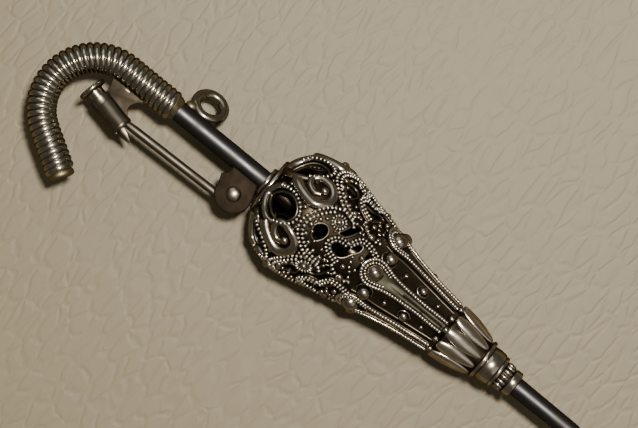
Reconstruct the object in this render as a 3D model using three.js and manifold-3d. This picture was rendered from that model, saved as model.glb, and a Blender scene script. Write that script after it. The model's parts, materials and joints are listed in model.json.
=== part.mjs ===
// A dress pin shaped like a closed parasol: a wire-wrapped crook, a pierced canopy, and a hinged
// pin with a tube catch. Millimetres. The shaft runs along +X towards the spike, the crook lies in
// the XY plane and +Z faces the viewer.
import * as THREE from 'three';
import { mergeVertices } from 'three/addons/utils/BufferGeometryUtils.js';
import Module from 'manifold-3d';

const wasm = await Module();
wasm.setup();

// ---- driving dimensions ----
const gap = 0.03;               // clearance between pieces that touch
const runningGap = 0.04;        // clearance between pieces that move
const smallestEdge = 0.004;     // slivers below this are merged away after a cut
const roundSides = 12;          // sides of the rod and of what wraps it
const turnSides = 24;           // sides of turned pieces

const rodRadius = 1.05;
const bendRadius = 5.3;
const bendTurn = THREE.MathUtils.degToRad(149);
const bendStart = 14.35;        // where the straight shaft turns into the crook
const tailLength = 4.5;
const sweepStep = 0.9;          // one facet length along the rod, shared by all that follows it

const wireDiameter = 0.5;
const wrapEnd = 20.6;
const capLength = 0.8;
const capRadius = 1.4;
const solderWidth = 0.45;

const ringWire = 0.5;           // wire radius of the chain ring
const ringRadius = 1.55;        // to the middle of its wire
const ringSetback = 2.38;       // from the end of the wrapping to the middle of the ring
const ringTilt = THREE.MathUtils.degToRad(-42);

const pointDepth = 2.9;         // from the sleeve's rim to the pin's point
const catchTilt = THREE.MathUtils.degToRad(-12.5);
const tubeRadius = 1.1;
const tubeWall = 0.17;
const tubeStart = 1.08;         // from the sleeve's rim
const tubeLength = 4.1;
const slotStart = 2.7;          // from the sleeve's rim
const lipLength = 1.6;
const lipWidth = 1.1;
const lipTurn = THREE.MathUtils.degToRad(25);
const plateThickness = 0.5;
const plateStart = 1.2;         // from the sleeve's rim
const plateLength = 4.0;
const plateWaist = 2.55;        // how far the flap's front edge is drawn in
const solderMargin = 0.45;
const solderHeight = 0.35;
const solderHalf = 0.62;
const sleeveWall = 0.27;
const sleeveLength = 2.85;
const rimRadius = 1.5;
const rimThickness = 0.2;
const flareLength = 0.16;

const pivotPlace = 30.45;
const cheekRadius = 1.95;
const cheekThickness = 0.4;
const eyeRadius = 1.45;
const stemRadius = 0.45;
const stemTipRadius = 0.06;
const stemTaper = 4.0;
const stemLength = 15.05;
const stemTilt = THREE.MathUtils.degToRad(1.4);
const rivetRadius = 0.5;
const rivetHeadRadius = 0.78;
const rivetHeadHeight = 0.36;
const webThickness = 0.4;

const sectors = 6;
const sectorTurn = 2 * Math.PI / sectors;
const firstSector = THREE.MathUtils.degToRad(-4);
const canopyStart = 32.55;      // the crown's edge next to the collar
const canopyLength = 23.05;     // to the ferrule cup
const canopyRadius = 6.5;       // at its widest
const crownLength = 6.1;
const scrollLength = 6.6;
const shellWall = 0.9;
const sectorGap = 0.08;
const hairpinHead = 1.15;       // half width of the hairpin's head, to the middle of its wire
const hairpinTip = 0.5;
const hairpinWire = 0.28;
const valleyWidth = 1.3;
const valleyWall = 0.5;

const collarLength = 0.55;
const collarWall = 0.62;
const ferruleCupLength = 4.3;
const ferruleCupWall = 0.7;
const ferruleGap = 0.04;
const spikeStep = 0.07;         // how much thinner the spike is than the rod
const spikeLength = 12;
const spikeTipRadius = 0.45;

// ---- places that follow from them ----
const bore = rodRadius + gap;
const spikeRadius = rodRadius - spikeStep;
const pivot = new THREE.Vector2(pivotPlace, -(bore + webThickness + runningGap + eyeRadius));
const ringPlace = wrapEnd + ringSetback;
const pinPoint = new THREE.Vector2(-stemLength, stemRadius - eyeRadius)
  .rotateAround(new THREE.Vector2(), stemTilt)
  .add(pivot);
const catchPlace = new THREE.Vector2(-pointDepth, 0)
  .rotateAround(new THREE.Vector2(), catchTilt)
  .add(pinPoint);
const plateRear = catchPlace.x + plateStart;
const plateFront = plateRear + plateLength;
const wrapRadius = rodRadius + gap + wireDiameter;
const tubeBore = tubeRadius - tubeWall;
const sleeveRadius = tubeBore - runningGap;
const sleeveBore = sleeveRadius - sleeveWall;
const tubeEnd = tubeStart + tubeLength;
const eyeThickness = 2 * stemRadius;
const slotWidth = eyeThickness + 2 * runningGap;
const bracketHalf = eyeThickness / 2 + runningGap + cheekThickness;
const canopyEnd = canopyStart + canopyLength;
const crownEnd = canopyStart + crownLength;
const scrollEnd = crownEnd + scrollLength;
const ferruleStart = canopyEnd + ferruleGap;
const ferruleCupNeck = 1.1;     // wall at the cup's narrow end
const ferruleFittings = [
  // name, length, wall round the bore at its start and at its end
  ['ferrule_ring_upper', 0.42, 1.14, 1.1],
  ['ferrule_band', 1.45, 0.85, 0.65],
  ['ferrule_ring_lower', 0.4, 0.72, 0.66],
  ['ferrule_bead_collar', 1.1, 0.5, 0.38],
  ['ferrule_end_ring', 0.85, 0.35, 0.25],
];

// ---- finishes ----
const finishes = {
  silver: { color: 0x8f897c, roughness: 0.35, metalness: 1 },
  darkSilver: { color: 0x6b6357, roughness: 0.42, metalness: 1 },
  steel: { color: 0x5d564d, roughness: 0.4, metalness: 1 },
  solder: { color: 0x8a7a4e, roughness: 0.5, metalness: 1 },
};

// ---- tools ----
const toSolid = (geometry) => {
  const bare = geometry.clone();
  bare.deleteAttribute('normal');
  bare.deleteAttribute('uv');
  const merged = mergeVertices(bare, 1e-5);
  return new wasm.Manifold(new wasm.Mesh({
    numProp: 3,
    vertProperties: new Float32Array(merged.attributes.position.array),
    triVerts: new Uint32Array(merged.index.array),
  }));
};

const toGeometry = (solid) => {
  const mesh = solid.simplify(smallestEdge).getMesh();
  const geometry = new THREE.BufferGeometry();
  geometry.setAttribute('position', new THREE.BufferAttribute(mesh.vertProperties, 3));
  geometry.setIndex(new THREE.BufferAttribute(mesh.triVerts, 1));
  return geometry;
};

const join = (first, ...others) => others.reduce((sum, each) => sum.add(each), first);
const cut = (first, ...others) => others.reduce((sum, each) => sum.subtract(each), first);

// A solid turned about +X from a closed profile of [x, radius] corners.
const turned = (profile, sides = turnSides) => {
  const points = profile.map(([x, radius]) => new THREE.Vector2(radius, x));
  const onAxis = points[0].x === 0;
  const closed = onAxis ? points : [...points, points[0].clone()];
  return new THREE.LatheGeometry(closed, sides).rotateZ(-Math.PI / 2);
};

const rod = (radius, from, to) => turned([
  [from, 0],
  [from, radius],
  [to, radius],
  [to, 0],
]);

// A plate from an outline in the XY plane, centred on z = 0.
const plate = (outline, thickness) => {
  const shape = outline instanceof THREE.Shape ? outline : new THREE.Shape(outline);
  const geometry = new THREE.ExtrudeGeometry(shape, {
    depth: thickness,
    bevelEnabled: false,
    curveSegments: 10,
  });
  return geometry.translate(0, 0, -thickness / 2);
};

const block = (low, high) => {
  const size = high.map((value, i) => value - low[i]);
  return new THREE.BoxGeometry(...size).translate(...low.map((value, i) => value + size[i] / 2));
};

// ---- shaft, crook and wrapping ----
const arcLength = bendRadius * bendTurn;
const tailHeading = Math.PI + bendTurn;
const tailEnd = new THREE.Vector2(
  bendStart + bendRadius * Math.cos(Math.PI / 2 + bendTurn),
  -bendRadius + bendRadius * Math.sin(Math.PI / 2 + bendTurn),
).add(new THREE.Vector2(Math.cos(tailHeading), Math.sin(tailHeading)).multiplyScalar(tailLength));

// The rod's centre line, measured from the free end of the crook.
class CentreLine extends THREE.Curve {
  constructor(from, to) {
    super();
    this.from = from;
    this.to = to;
  }

  getPoint(t, target = new THREE.Vector3()) {
    const along = this.from + (this.to - this.from) * t;
    if (along < tailLength) {
      return target.set(
        tailEnd.x - Math.cos(tailHeading) * along,
        tailEnd.y - Math.sin(tailHeading) * along,
        0,
      );
    }
    if (along < tailLength + arcLength) {
      const angle = Math.PI / 2 + bendTurn - (along - tailLength) / bendRadius;
      return target.set(
        bendStart + bendRadius * Math.cos(angle),
        -bendRadius + bendRadius * Math.sin(angle),
        0,
      );
    }
    return target.set(bendStart + along - tailLength - arcLength, 0, 0);
  }
}

const alongAt = (x) => tailLength + arcLength + x - bendStart;

// A tube that follows the centre line, in whole facets, so that nested pieces share their facets.
const alongRod = (steps, radius, boreRadius = 0) => {
  const section = new THREE.Shape();
  const corner = (i, r) => {
    const angle = 2 * Math.PI * i / roundSides;
    return new THREE.Vector2(r * Math.cos(angle), r * Math.sin(angle));
  };
  const corners = Array.from({ length: roundSides }, (_, i) => i);
  section.setFromPoints(corners.map((i) => corner(i, radius)));
  if (boreRadius > 0) {
    section.holes.push(new THREE.Path(corners.map((i) => corner(-i, boreRadius))));
  }
  const path = new CentreLine(0, steps * sweepStep);
  return new THREE.ExtrudeGeometry(section, { steps, extrudePath: path, bevelEnabled: false });
};

const wrapSteps = Math.round(alongAt(wrapEnd) / sweepStep);
const wrapStop = bendStart + wrapSteps * sweepStep - tailLength - arcLength;
const ferruleLength = ferruleFittings.reduce(
  (sum, [, length]) => sum + length + ferruleGap,
  ferruleCupLength + ferruleGap,
);
const ferruleEnd = ferruleStart + ferruleLength;
const shaftSteps = Math.floor(alongAt(ferruleEnd - ferruleGap) / sweepStep);

const endCap = () => {
  const geometry = turned([
    [gap, 0],
    [gap, capRadius],
    [capLength * 0.6, capRadius],
    [capLength * 0.9, capRadius * 0.9],
    [capLength, capRadius * 0.72],
    [capLength, 0],
  ], 24);
  return geometry.rotateZ(tailHeading).translate(tailEnd.x, tailEnd.y, 0);
};

const wrapSolder = () => turned([
  [wrapStop + gap, bore],
  [wrapStop + gap, wrapRadius],
  [wrapStop + solderWidth, bore + 0.08],
  [wrapStop + solderWidth, bore],
]);

const ringCentre = new THREE.Vector3(
  ringPlace,
  (rodRadius + ringRadius + ringWire + gap) * Math.cos(ringTilt),
  (rodRadius + ringRadius + ringWire + gap) * Math.sin(ringTilt),
);

const chainRing = (wire = ringWire) => new THREE.TorusGeometry(ringRadius, wire, 8, 20)
  .rotateX(ringTilt)
  .translate(ringCentre.x, ringCentre.y, ringCentre.z);

const ringSolder = () => {
  const bead = new THREE.IcosahedronGeometry(0.62, 2).scale(1.3, 1, 1);
  const reach = rodRadius + ringWire;
  bead.translate(
    ringPlace - ringRadius + 0.2,
    reach * Math.cos(ringTilt),
    reach * Math.sin(ringTilt),
  );
  return toGeometry(cut(
    toSolid(bead),
    toSolid(turned([
      [0, 0],
      [0, wrapRadius + gap],
      [wrapStop + 2 * gap, wrapRadius + gap],
      [wrapStop + solderWidth + gap, bore + 0.1],
      [canopyStart, bore + 0.1],
      [canopyStart, 0],
    ])),
    toSolid(chainRing(ringWire + 2 * gap)),
  ));
};

// ---- catch ----
const inCatchFrame = (geometry) => geometry
  .rotateZ(catchTilt)
  .translate(catchPlace.x, catchPlace.y, 0);
const catchPoint = (x, y) => new THREE.Vector2(x, y)
  .rotateAround(new THREE.Vector2(), catchTilt)
  .add(catchPlace);
const wrapEnvelope = () => toSolid(alongRod(wrapSteps, wrapRadius + gap));

const catchPlateOutline = () => {
  const foot = tubeRadius - tubeWall * 0.6;
  const rear = catchPoint(tubeStart, foot);
  const front = catchPoint(tubeEnd - 0.1, foot);
  const shape = new THREE.Shape();
  shape.moveTo(rear.x, rear.y);
  shape.lineTo(front.x, front.y);
  const waist = (front.y - rodRadius) / 2;
  shape.quadraticCurveTo(plateFront - plateWaist, waist, plateFront, -rodRadius);
  shape.lineTo(plateRear, -rodRadius);
  shape.lineTo(rear.x, rear.y);
  return shape;
};

const catchLip = () => {
  const ring = toSolid(turned([
    [tubeEnd - 0.1, tubeBore],
    [tubeEnd - 0.1, tubeRadius],
    [tubeEnd + lipLength, tubeRadius],
    [tubeEnd + lipLength, tubeBore],
  ]));
  const tongue = new THREE.Shape([
    new THREE.Vector2(tubeEnd - 0.2, -lipWidth / 2),
    new THREE.Vector2(tubeEnd + lipLength * 0.97, -0.05),
    new THREE.Vector2(tubeEnd + lipLength * 0.97, 0.05),
    new THREE.Vector2(tubeEnd - 0.2, lipWidth / 2),
  ]);
  const depth = 2 * tubeRadius;
  const point = new THREE.ExtrudeGeometry(tongue, { depth, bevelEnabled: false });
  return ring.intersect(toSolid(point.translate(0, 0, -depth).rotateX(-lipTurn)));
};

const catchHousing = () => {
  const tube = toSolid(turned([
    [tubeStart, tubeBore],
    [tubeStart, tubeRadius],
    [tubeEnd, tubeRadius],
    [tubeEnd, tubeBore],
  ]));
  const slotEnd = tubeEnd + lipLength + gap;
  const slot = toSolid(block(
    [slotStart, -2 * tubeRadius, -slotWidth / 2],
    [slotEnd, 0, slotWidth / 2],
  ));
  const rolled = toSolid(inCatchFrame(toGeometry(cut(join(tube, catchLip()), slot))));
  const flap = cut(toSolid(plate(catchPlateOutline(), plateThickness)), wrapEnvelope());
  return toGeometry(join(rolled, flap));
};

const catchSleeve = () => inCatchFrame(turned([
  [0, sleeveBore + 0.5],
  [0, rimRadius],
  [rimThickness, rimRadius],
  [rimThickness + flareLength * 0.35, sleeveRadius + 0.25],
  [rimThickness + flareLength, sleeveRadius],
  [sleeveLength, sleeveRadius],
  [sleeveLength, sleeveBore],
  [0.5, sleeveBore],
]));

const catchSolder = () => {
  const bed = block(
    [plateRear + solderMargin, -wrapRadius - solderHeight, -solderHalf],
    [plateFront - solderMargin, -rodRadius, solderHalf],
  );
  return toGeometry(cut(
    toSolid(bed),
    wrapEnvelope(),
    toSolid(plate(catchPlateOutline(), plateThickness + 2 * gap)),
  ));
};

// ---- hinge ----
const cheekOutline = () => {
  const shape = new THREE.Shape();
  shape.moveTo(pivot.x + 1.35, -rodRadius * 0.7);
  shape.lineTo(pivot.x - 1.75, -rodRadius * 0.7);
  shape.lineTo(pivot.x - 1.7, pivot.y + 1.55);
  shape.lineTo(pivot.x - 2.35, pivot.y + 0.8);
  shape.lineTo(pivot.x - 2.05, pivot.y + 0.15);
  shape.absarc(pivot.x, pivot.y, cheekRadius, Math.PI, 2 * Math.PI, false);
  shape.lineTo(pivot.x + 1.75, pivot.y + 0.9);
  shape.lineTo(pivot.x + 1.35, -rodRadius * 0.7);
  return shape;
};

const drilled = (radius) => toSolid(
  new THREE.CylinderGeometry(radius, radius, 10, 20)
    .rotateX(Math.PI / 2)
    .translate(pivot.x, pivot.y, 0),
);

const hingeBracket = () => {
  const pocketHalf = eyeThickness / 2 + runningGap;
  const webFoot = -bore - webThickness;
  const pocket = block(
    [pivot.x - 5, pivot.y - 5, -pocketHalf],
    [pivot.x + 5, webFoot, pocketHalf],
  );
  return toGeometry(cut(
    toSolid(plate(cheekOutline(), 2 * bracketHalf)),
    toSolid(pocket),
    toSolid(rod(bore, 0, canopyStart)),
    drilled(rivetRadius + gap),
  ));
};

const hingeRivet = () => {
  const seat = bracketHalf + gap;
  const crown = (side) => [0, 0.35, 0.7, 1].map((turn) => [
    side * (seat + rivetHeadHeight * Math.cos(turn * Math.PI / 2)),
    rivetHeadRadius * Math.sin(turn * Math.PI / 2),
  ]);
  const profile = [...crown(-1), [-seat, rivetRadius], [seat, rivetRadius], ...crown(1).reverse()];
  return turned(profile, 24).rotateY(-Math.PI / 2).translate(pivot.x, pivot.y, 0);
};

const pinStem = () => {
  const blade = turned([
    [0, 0],
    [0, stemTipRadius],
    [stemTaper * 0.5, stemRadius * 0.62],
    [stemTaper, stemRadius],
    [stemLength, stemRadius],
    [stemLength, 0],
  ], 12);
  blade.translate(-stemLength, stemRadius - eyeRadius, 0)
    .rotateZ(stemTilt)
    .translate(pivot.x, pivot.y, 0);
  const eye = new THREE.CylinderGeometry(eyeRadius, eyeRadius, eyeThickness, 28)
    .rotateX(Math.PI / 2)
    .translate(pivot.x, pivot.y, 0);
  return toGeometry(cut(join(toSolid(eye), toSolid(blade)), drilled(rivetRadius + runningGap)));
};

// ---- canopy ----
// Radius of the canopy's outer surface, as shares of its length and of its widest radius.
const silhouette = new THREE.SplineCurve([
  new THREE.Vector2(0, 0.42),
  new THREE.Vector2(0.04, 0.68),
  new THREE.Vector2(0.09, 0.86),
  new THREE.Vector2(0.2, 1),
  new THREE.Vector2(0.3, 0.97),
  new THREE.Vector2(0.43, 0.86),
  new THREE.Vector2(0.6, 0.73),
  new THREE.Vector2(0.8, 0.58),
  new THREE.Vector2(1, 0.48),
]);

const outline = silhouette.getPoints(80);

const canopyRadiusAt = (x) => {
  const share = THREE.MathUtils.clamp((x - canopyStart) / canopyLength, 0, 1);
  const after = Math.max(1, outline.findIndex((point) => point.x >= share));
  const [low, high] = [outline[after - 1], outline[after]];
  const between = (share - low.x) / (high.x - low.x);
  return canopyRadius * THREE.MathUtils.lerp(low.y, high.y, between);
};

const onCanopy = (x, angle, sink = 0) => {
  const radius = canopyRadiusAt(x) - sink;
  return new THREE.Vector3(x, radius * Math.sin(angle), radius * Math.cos(angle));
};

// A ring of shell between two places, sunk below the outer surface and of the given wall.
const shellRing = (from, to, sink, wall, steps) => {
  const stations = Array.from({ length: steps + 1 }, (_, i) => from + (to - from) * i / steps);
  const outer = stations.map((x) => [x, canopyRadiusAt(x) - sink]);
  const inner = stations.map((x) => [x, Math.max(bore + 0.1, canopyRadiusAt(x) - sink - wall)]);
  return toSolid(turned([...outer, ...inner.reverse()]));
};

// What lies within half a width (an angle) of the plane through the axis at an angle, on that
// side of the axis.
const slice = (angle, width, trim) => {
  const reach = 2 * canopyRadius;
  const rise = reach * Math.tan(width / 2);
  const wedge = new THREE.Shape([
    new THREE.Vector2(0, 0),
    new THREE.Vector2(reach, -rise),
    new THREE.Vector2(reach, rise),
  ]);
  const depth = 3 * canopyLength;
  const geometry = new THREE.ExtrudeGeometry(wedge, { depth, bevelEnabled: false });
  geometry.translate(trim / Math.sin(width / 2), 0, -canopyLength).rotateY(Math.PI / 2);
  return toSolid(geometry.rotateX(Math.PI - angle).translate(canopyStart, 0, 0));
};

// What lies within half a width (a length) of that plane, with parallel sides.
const slab = (angle, width) => toSolid(
  block([canopyStart, -width / 2, 0], [canopyStart + 2 * canopyLength, width / 2, 2 * canopyRadius])
    .rotateX(-angle),
);

// A hole seen along the radius at an angle: an ellipse of the given half length and half width.
const ovalHole = (x, angle, halfLength, halfWidth) => {
  const hole = new THREE.CylinderGeometry(1, 1, 3 * canopyRadius, 12);
  hole.scale(halfLength, 1, halfWidth)
    .translate(0, 1.5 * canopyRadius, 0)
    .rotateX(Math.PI / 2 - angle);
  return toSolid(hole.translate(x, 0, 0));
};

const sectorAngle = (k) => firstSector + k * sectorTurn;
const gapAngle = (k) => sectorAngle(k) + sectorTurn / 2;
const lobeWidth = sectorTurn * 0.6;
const bossWidth = sectorTurn - lobeWidth;

const crownShell = shellRing(canopyStart, crownEnd, 0.05, shellWall, 6);
const bossShell = shellRing(canopyStart + 0.9, crownEnd, 0, shellWall + 0.3, 5);
const scrollShell = shellRing(crownEnd + sectorGap, scrollEnd, 0.15, shellWall, 3);
const valleyShell = shellRing(scrollEnd + sectorGap, canopyEnd, 0.85, valleyWall, 3);

const crownLobe = (k) => toGeometry(cut(
  crownShell.intersect(slice(sectorAngle(k), lobeWidth, sectorGap / 2)),
  ovalHole(canopyStart + 2.9, sectorAngle(k), 1.55, 1.0),
));

const crownBoss = (k) => toGeometry(
  bossShell.intersect(slice(gapAngle(k), bossWidth, sectorGap / 2)),
);

const scrollPanel = (k) => toGeometry(cut(
  scrollShell.intersect(slice(sectorAngle(k), sectorTurn, sectorGap / 2)),
  ovalHole(crownEnd + 4.7, sectorAngle(k) + 0.06, 1.0, 1.2),
));

const hairpin = (k) => {
  const headPlace = scrollEnd + hairpinHead + hairpinWire + sectorGap;
  const tipPlace = canopyEnd - hairpinWire - 0.1;
  const legs = [0, 0.2, 0.4, 0.6, 0.8].map((share) => [
    THREE.MathUtils.lerp(tipPlace, headPlace, share),
    THREE.MathUtils.lerp(hairpinTip, hairpinHead, share ** 1.6),
  ]);
  const head = [-60, -30, 0, 30, 60, 90].map((turn) => {
    const angle = THREE.MathUtils.degToRad(turn);
    return [headPlace - hairpinHead * Math.sin(angle), hairpinHead * Math.cos(angle)];
  });
  const half = [...legs, ...head.slice(2)];
  const mirrored = half.slice(0, -1).reverse().map(([x, side]) => [x, -side]);
  const points = [...half, ...mirrored].map(([x, side]) => {
    const sink = hairpinWire;
    return onCanopy(x, sectorAngle(k) + side / (canopyRadiusAt(x) - sink), sink);
  });
  const section = new THREE.Shape();
  section.setFromPoints(Array.from({ length: 6 }, (_, i) => new THREE.Vector2(
    hairpinWire * Math.cos(i * Math.PI / 3),
    hairpinWire * Math.sin(i * Math.PI / 3),
  )));
  const path = new THREE.CatmullRomCurve3(points, false, 'centripetal');
  return new THREE.ExtrudeGeometry(section, { steps: 26, extrudePath: path, bevelEnabled: false });
};

const valley = (k) => {
  const balls = [
    // share of the valley's length, radius
    [0.1, 0.72],
    [0.33, 0.3],
    [0.56, 0.5],
    [0.93, 0.28],
  ];
  const length = canopyEnd - scrollEnd;
  const floor = valleyShell.intersect(slab(gapAngle(k), valleyWidth));
  const studs = balls.map(([share, radius]) => {
    const place = onCanopy(scrollEnd + share * length + 0.15, gapAngle(k), 0.85);
    const ball = new THREE.SphereGeometry(radius, 8, 6).translate(place.x, place.y, place.z);
    return toSolid(ball);
  });
  return toGeometry(join(floor, ...studs));
};

const canopyCollar = () => turned([
  [canopyStart - collarLength, bore],
  [canopyStart - collarLength, bore + 0.35 * collarWall],
  [canopyStart - collarLength * 0.5, bore + collarWall],
  [canopyStart - gap, bore + collarWall],
  [canopyStart - gap, bore],
]);

// ---- ferrule ----
const ferruleCup = () => {
  const end = ferruleStart + ferruleCupLength;
  const mouth = canopyRadius * 0.48;
  return turned([
    [ferruleStart, mouth - ferruleCupWall],
    [ferruleStart, mouth],
    [ferruleStart + 0.45 * ferruleCupLength, mouth * 0.87],
    [end, bore + ferruleCupNeck],
    [end, bore],
    [end - 0.9, bore],
    [end - 1.6, bore + 0.3],
  ]);
};

const ferrulePieces = () => {
  const pieces = [];
  let from = ferruleStart + ferruleCupLength + ferruleGap;
  for (const [name, length, startWall, endWall] of ferruleFittings) {
    const edge = Math.min(0.12, length / 4);
    const startRadius = bore + startWall;
    const endRadius = bore + endWall;
    pieces.push([name, turned([
      [from, bore],
      [from, startRadius - edge],
      [from + edge, startRadius],
      [from + length - edge, endRadius],
      [from + length, endRadius - edge],
      [from + length, bore],
    ])]);
    from += length + ferruleGap;
  }
  return pieces;
};

const spike = () => {
  const from = ferruleEnd + gap;
  const to = from + spikeLength;
  return turned([
    [from, 0],
    [from, spikeRadius],
    [from + 0.6 * spikeLength, spikeRadius * 0.93],
    [to - 1.2, spikeTipRadius * 1.3],
    [to - 0.35, spikeTipRadius],
    [to, spikeTipRadius * 0.5],
    [to, 0],
  ], 20);
};

// ---- assembly ----
const pin = new THREE.Group();

const addPiece = (name, geometry, finish) => {
  const mesh = new THREE.Mesh(geometry, new THREE.MeshStandardMaterial(finishes[finish]));
  mesh.name = name;
  pin.add(mesh);
};

addPiece('shaft', alongRod(shaftSteps, rodRadius), 'silver');
addPiece('handle_wrap', alongRod(wrapSteps, wrapRadius, bore), 'silver');
addPiece('handle_end_cap', endCap(), 'solder');
addPiece('wrap_solder', wrapSolder(), 'solder');
addPiece('chain_ring', chainRing(), 'silver');
addPiece('ring_solder', ringSolder(), 'solder');
addPiece('catch_housing', catchHousing(), 'darkSilver');
addPiece('catch_sleeve', catchSleeve(), 'silver');
addPiece('catch_solder', catchSolder(), 'solder');
addPiece('hinge_bracket', hingeBracket(), 'darkSilver');
addPiece('hinge_rivet', hingeRivet(), 'silver');
addPiece('pin_stem', pinStem(), 'steel');
addPiece('canopy_collar', canopyCollar(), 'silver');

for (let k = 0; k < sectors; k += 1) {
  addPiece(`crown_lobe_${k + 1}`, crownLobe(k), 'silver');
  addPiece(`crown_boss_${k + 1}`, crownBoss(k), 'silver');
  addPiece(`scroll_panel_${k + 1}`, scrollPanel(k), 'darkSilver');
  addPiece(`hairpin_${k + 1}`, hairpin(k), 'silver');
  addPiece(`valley_${k + 1}`, valley(k), 'darkSilver');
}

addPiece('ferrule_cup', ferruleCup(), 'silver');
for (const [name, geometry] of ferrulePieces()) addPiece(name, geometry, 'silver');
addPiece('ferrule_spike', spike(), 'silver');

// The origin is the middle of the footprint, at the height of the lowest point.
const bounds = new THREE.Box3().setFromObject(pin, true);
const middle = bounds.getCenter(new THREE.Vector3());
pin.position.set(-middle.x, -middle.y, -bounds.min.z);

export default pin;
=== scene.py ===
# %% [markdown]
# # A closed-parasol dress pin in Blender
# The pin is a piece of old jewellery: a crook wound with wire, a pierced canopy made of beaded
# wires, scrolls and grains, and a hinged pin that closes into a tube catch. The mechanism comes
# from the CAD frame. This lesson dresses it: every visible piece is rebuilt with its real surface
# and rides on the body that moves it.

# %% Load the frame
import json
import math

import bmesh
import bpy
import numpy as np
from mathutils import Matrix, Vector
from mathutils.geometry import delaunay_2d_cdt


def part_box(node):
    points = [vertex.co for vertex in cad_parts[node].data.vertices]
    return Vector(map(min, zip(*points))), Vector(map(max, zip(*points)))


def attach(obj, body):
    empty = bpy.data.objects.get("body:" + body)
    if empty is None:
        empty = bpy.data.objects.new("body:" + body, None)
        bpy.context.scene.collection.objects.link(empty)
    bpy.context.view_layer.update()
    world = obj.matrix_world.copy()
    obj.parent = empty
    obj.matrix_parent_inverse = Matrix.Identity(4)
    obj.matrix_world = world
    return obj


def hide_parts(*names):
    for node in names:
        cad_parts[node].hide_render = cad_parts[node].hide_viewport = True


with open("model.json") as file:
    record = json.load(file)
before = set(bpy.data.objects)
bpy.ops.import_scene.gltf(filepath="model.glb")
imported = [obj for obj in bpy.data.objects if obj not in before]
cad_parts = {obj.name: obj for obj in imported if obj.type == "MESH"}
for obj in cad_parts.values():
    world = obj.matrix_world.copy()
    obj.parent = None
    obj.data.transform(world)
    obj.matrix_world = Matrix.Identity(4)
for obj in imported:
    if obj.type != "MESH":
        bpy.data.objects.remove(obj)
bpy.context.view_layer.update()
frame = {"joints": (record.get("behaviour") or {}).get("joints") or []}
MM = 0.001

# %% [markdown]
# The frame says where everything is. The last ferrule ring is round and sits on the shaft, so the
# middle of its box gives the shaft's axis. The other places are the ends of the pieces along X.
# Lengths in this script are millimetres from the canopy's start unless a name says otherwise, and
# one function turns them into the frame's metres.

# %% Places taken from the frame
end_ring_low, end_ring_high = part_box("ferrule_end_ring")
axis_y = (end_ring_low.y + end_ring_high.y) / 2
axis_z = (end_ring_low.z + end_ring_high.z) / 2
canopy_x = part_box("crown_lobe_1")[0].x


def station(x):
    """Millimetres along the shaft from the canopy's start."""
    return (x - canopy_x) / MM


crown_end = station(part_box("crown_lobe_1")[1].x)
scroll_end = station(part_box("scroll_panel_1")[1].x)
canopy_end = station(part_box("valley_1")[1].x)
spike_start = station(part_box("ferrule_spike")[0].x)
spike_end = station(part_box("ferrule_spike")[1].x)
wrap_stop = station(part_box("wrap_solder")[0].x)
rod_radius = (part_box("shaft")[1].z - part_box("shaft")[0].z) / 2 / MM
print("stations", round(crown_end, 2), round(scroll_end, 2), round(canopy_end, 2), round(spike_end, 2))


def on_shaft(x, y=0.0, z=0.0):
    """A point in metres from millimetres: x along the shaft from the canopy's start, y and z across it."""
    return Vector((canopy_x + x * MM, axis_y + y * MM, axis_z + z * MM))


# %% [markdown]
# ## Studio
# The pin lies on pale grained leather in a dim room, under one small warm lamp almost overhead.
# Polished metal shows what is around it, so the dim room keeps the silver dark and the small lamp
# gives tight sparkles. The grain is a crackle of cells, stretched along the view, that only bends
# the light, so the floor stays a flat plane.

# %% Floor
view_right = Vector((0.7745, 0.6326, 0))
view_up = Vector((-0.6326, 0.7745, 0))


def leather(name, color, roughness):
    material = bpy.data.materials.new(name)
    material.use_nodes = True
    nodes, links = material.node_tree.nodes, material.node_tree.links
    shader = nodes["Principled BSDF"]
    shader.inputs["Base Color"].default_value = (*color, 1)
    shader.inputs["Roughness"].default_value = roughness
    shader.inputs["Specular IOR Level"].default_value = 0.35
    place = nodes.new("ShaderNodeTexCoord")
    along = nodes.new("ShaderNodeMapping")
    along.inputs["Rotation"].default_value = (0, 0, -math.atan2(view_right.y, view_right.x) - 0.2)
    along.inputs["Scale"].default_value = (1.0, 0.45, 1.0)
    links.new(place.outputs["Object"], along.inputs["Vector"])
    wander = nodes.new("ShaderNodeTexNoise")
    wander.inputs["Scale"].default_value = 500.0
    links.new(along.outputs["Vector"], wander.inputs["Vector"])
    bend = nodes.new("ShaderNodeVectorMath")
    bend.operation = "MULTIPLY_ADD"
    bend.inputs[1].default_value = (0.0016, 0.0016, 0.0)
    links.new(wander.outputs["Color"], bend.inputs[0])
    links.new(along.outputs["Vector"], bend.inputs[2])
    cells = nodes.new("ShaderNodeTexVoronoi")
    cells.feature = "DISTANCE_TO_EDGE"
    cells.inputs["Scale"].default_value = 750.0
    links.new(bend.outputs["Vector"], cells.inputs["Vector"])
    creases = nodes.new("ShaderNodeMapRange")
    creases.interpolation_type = "SMOOTHSTEP"
    creases.inputs["From Max"].default_value = 0.2
    links.new(cells.outputs["Distance"], creases.inputs["Value"])
    relief = nodes.new("ShaderNodeBump")
    relief.inputs["Strength"].default_value = 0.28
    relief.inputs["Distance"].default_value = 0.08 * MM
    links.new(creases.outputs["Result"], relief.inputs["Height"])
    links.new(relief.outputs["Normal"], shader.inputs["Normal"])
    return material


bpy.ops.mesh.primitive_plane_add(size=3, location=(0, 0, 0))
floor = bpy.context.object
floor.name = "floor"
floor.data.materials.append(leather("pale leather", (0.155, 0.126, 0.07), 0.5))
print("floor", floor.data.materials[0].name)

# %% [markdown]
# The camera looks straight down, turned so that the shaft runs from the upper left to the lower
# right. The key lamp stands close to it and casts a short shadow. A broad dim window on one side
# and a weaker fill on the other keep the dark sides of the metal from going black.

# %% Camera and lamps
view_target = on_shaft(5.75, 0.9)
view_width = 63.8 * MM
view_distance = 0.30

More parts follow.
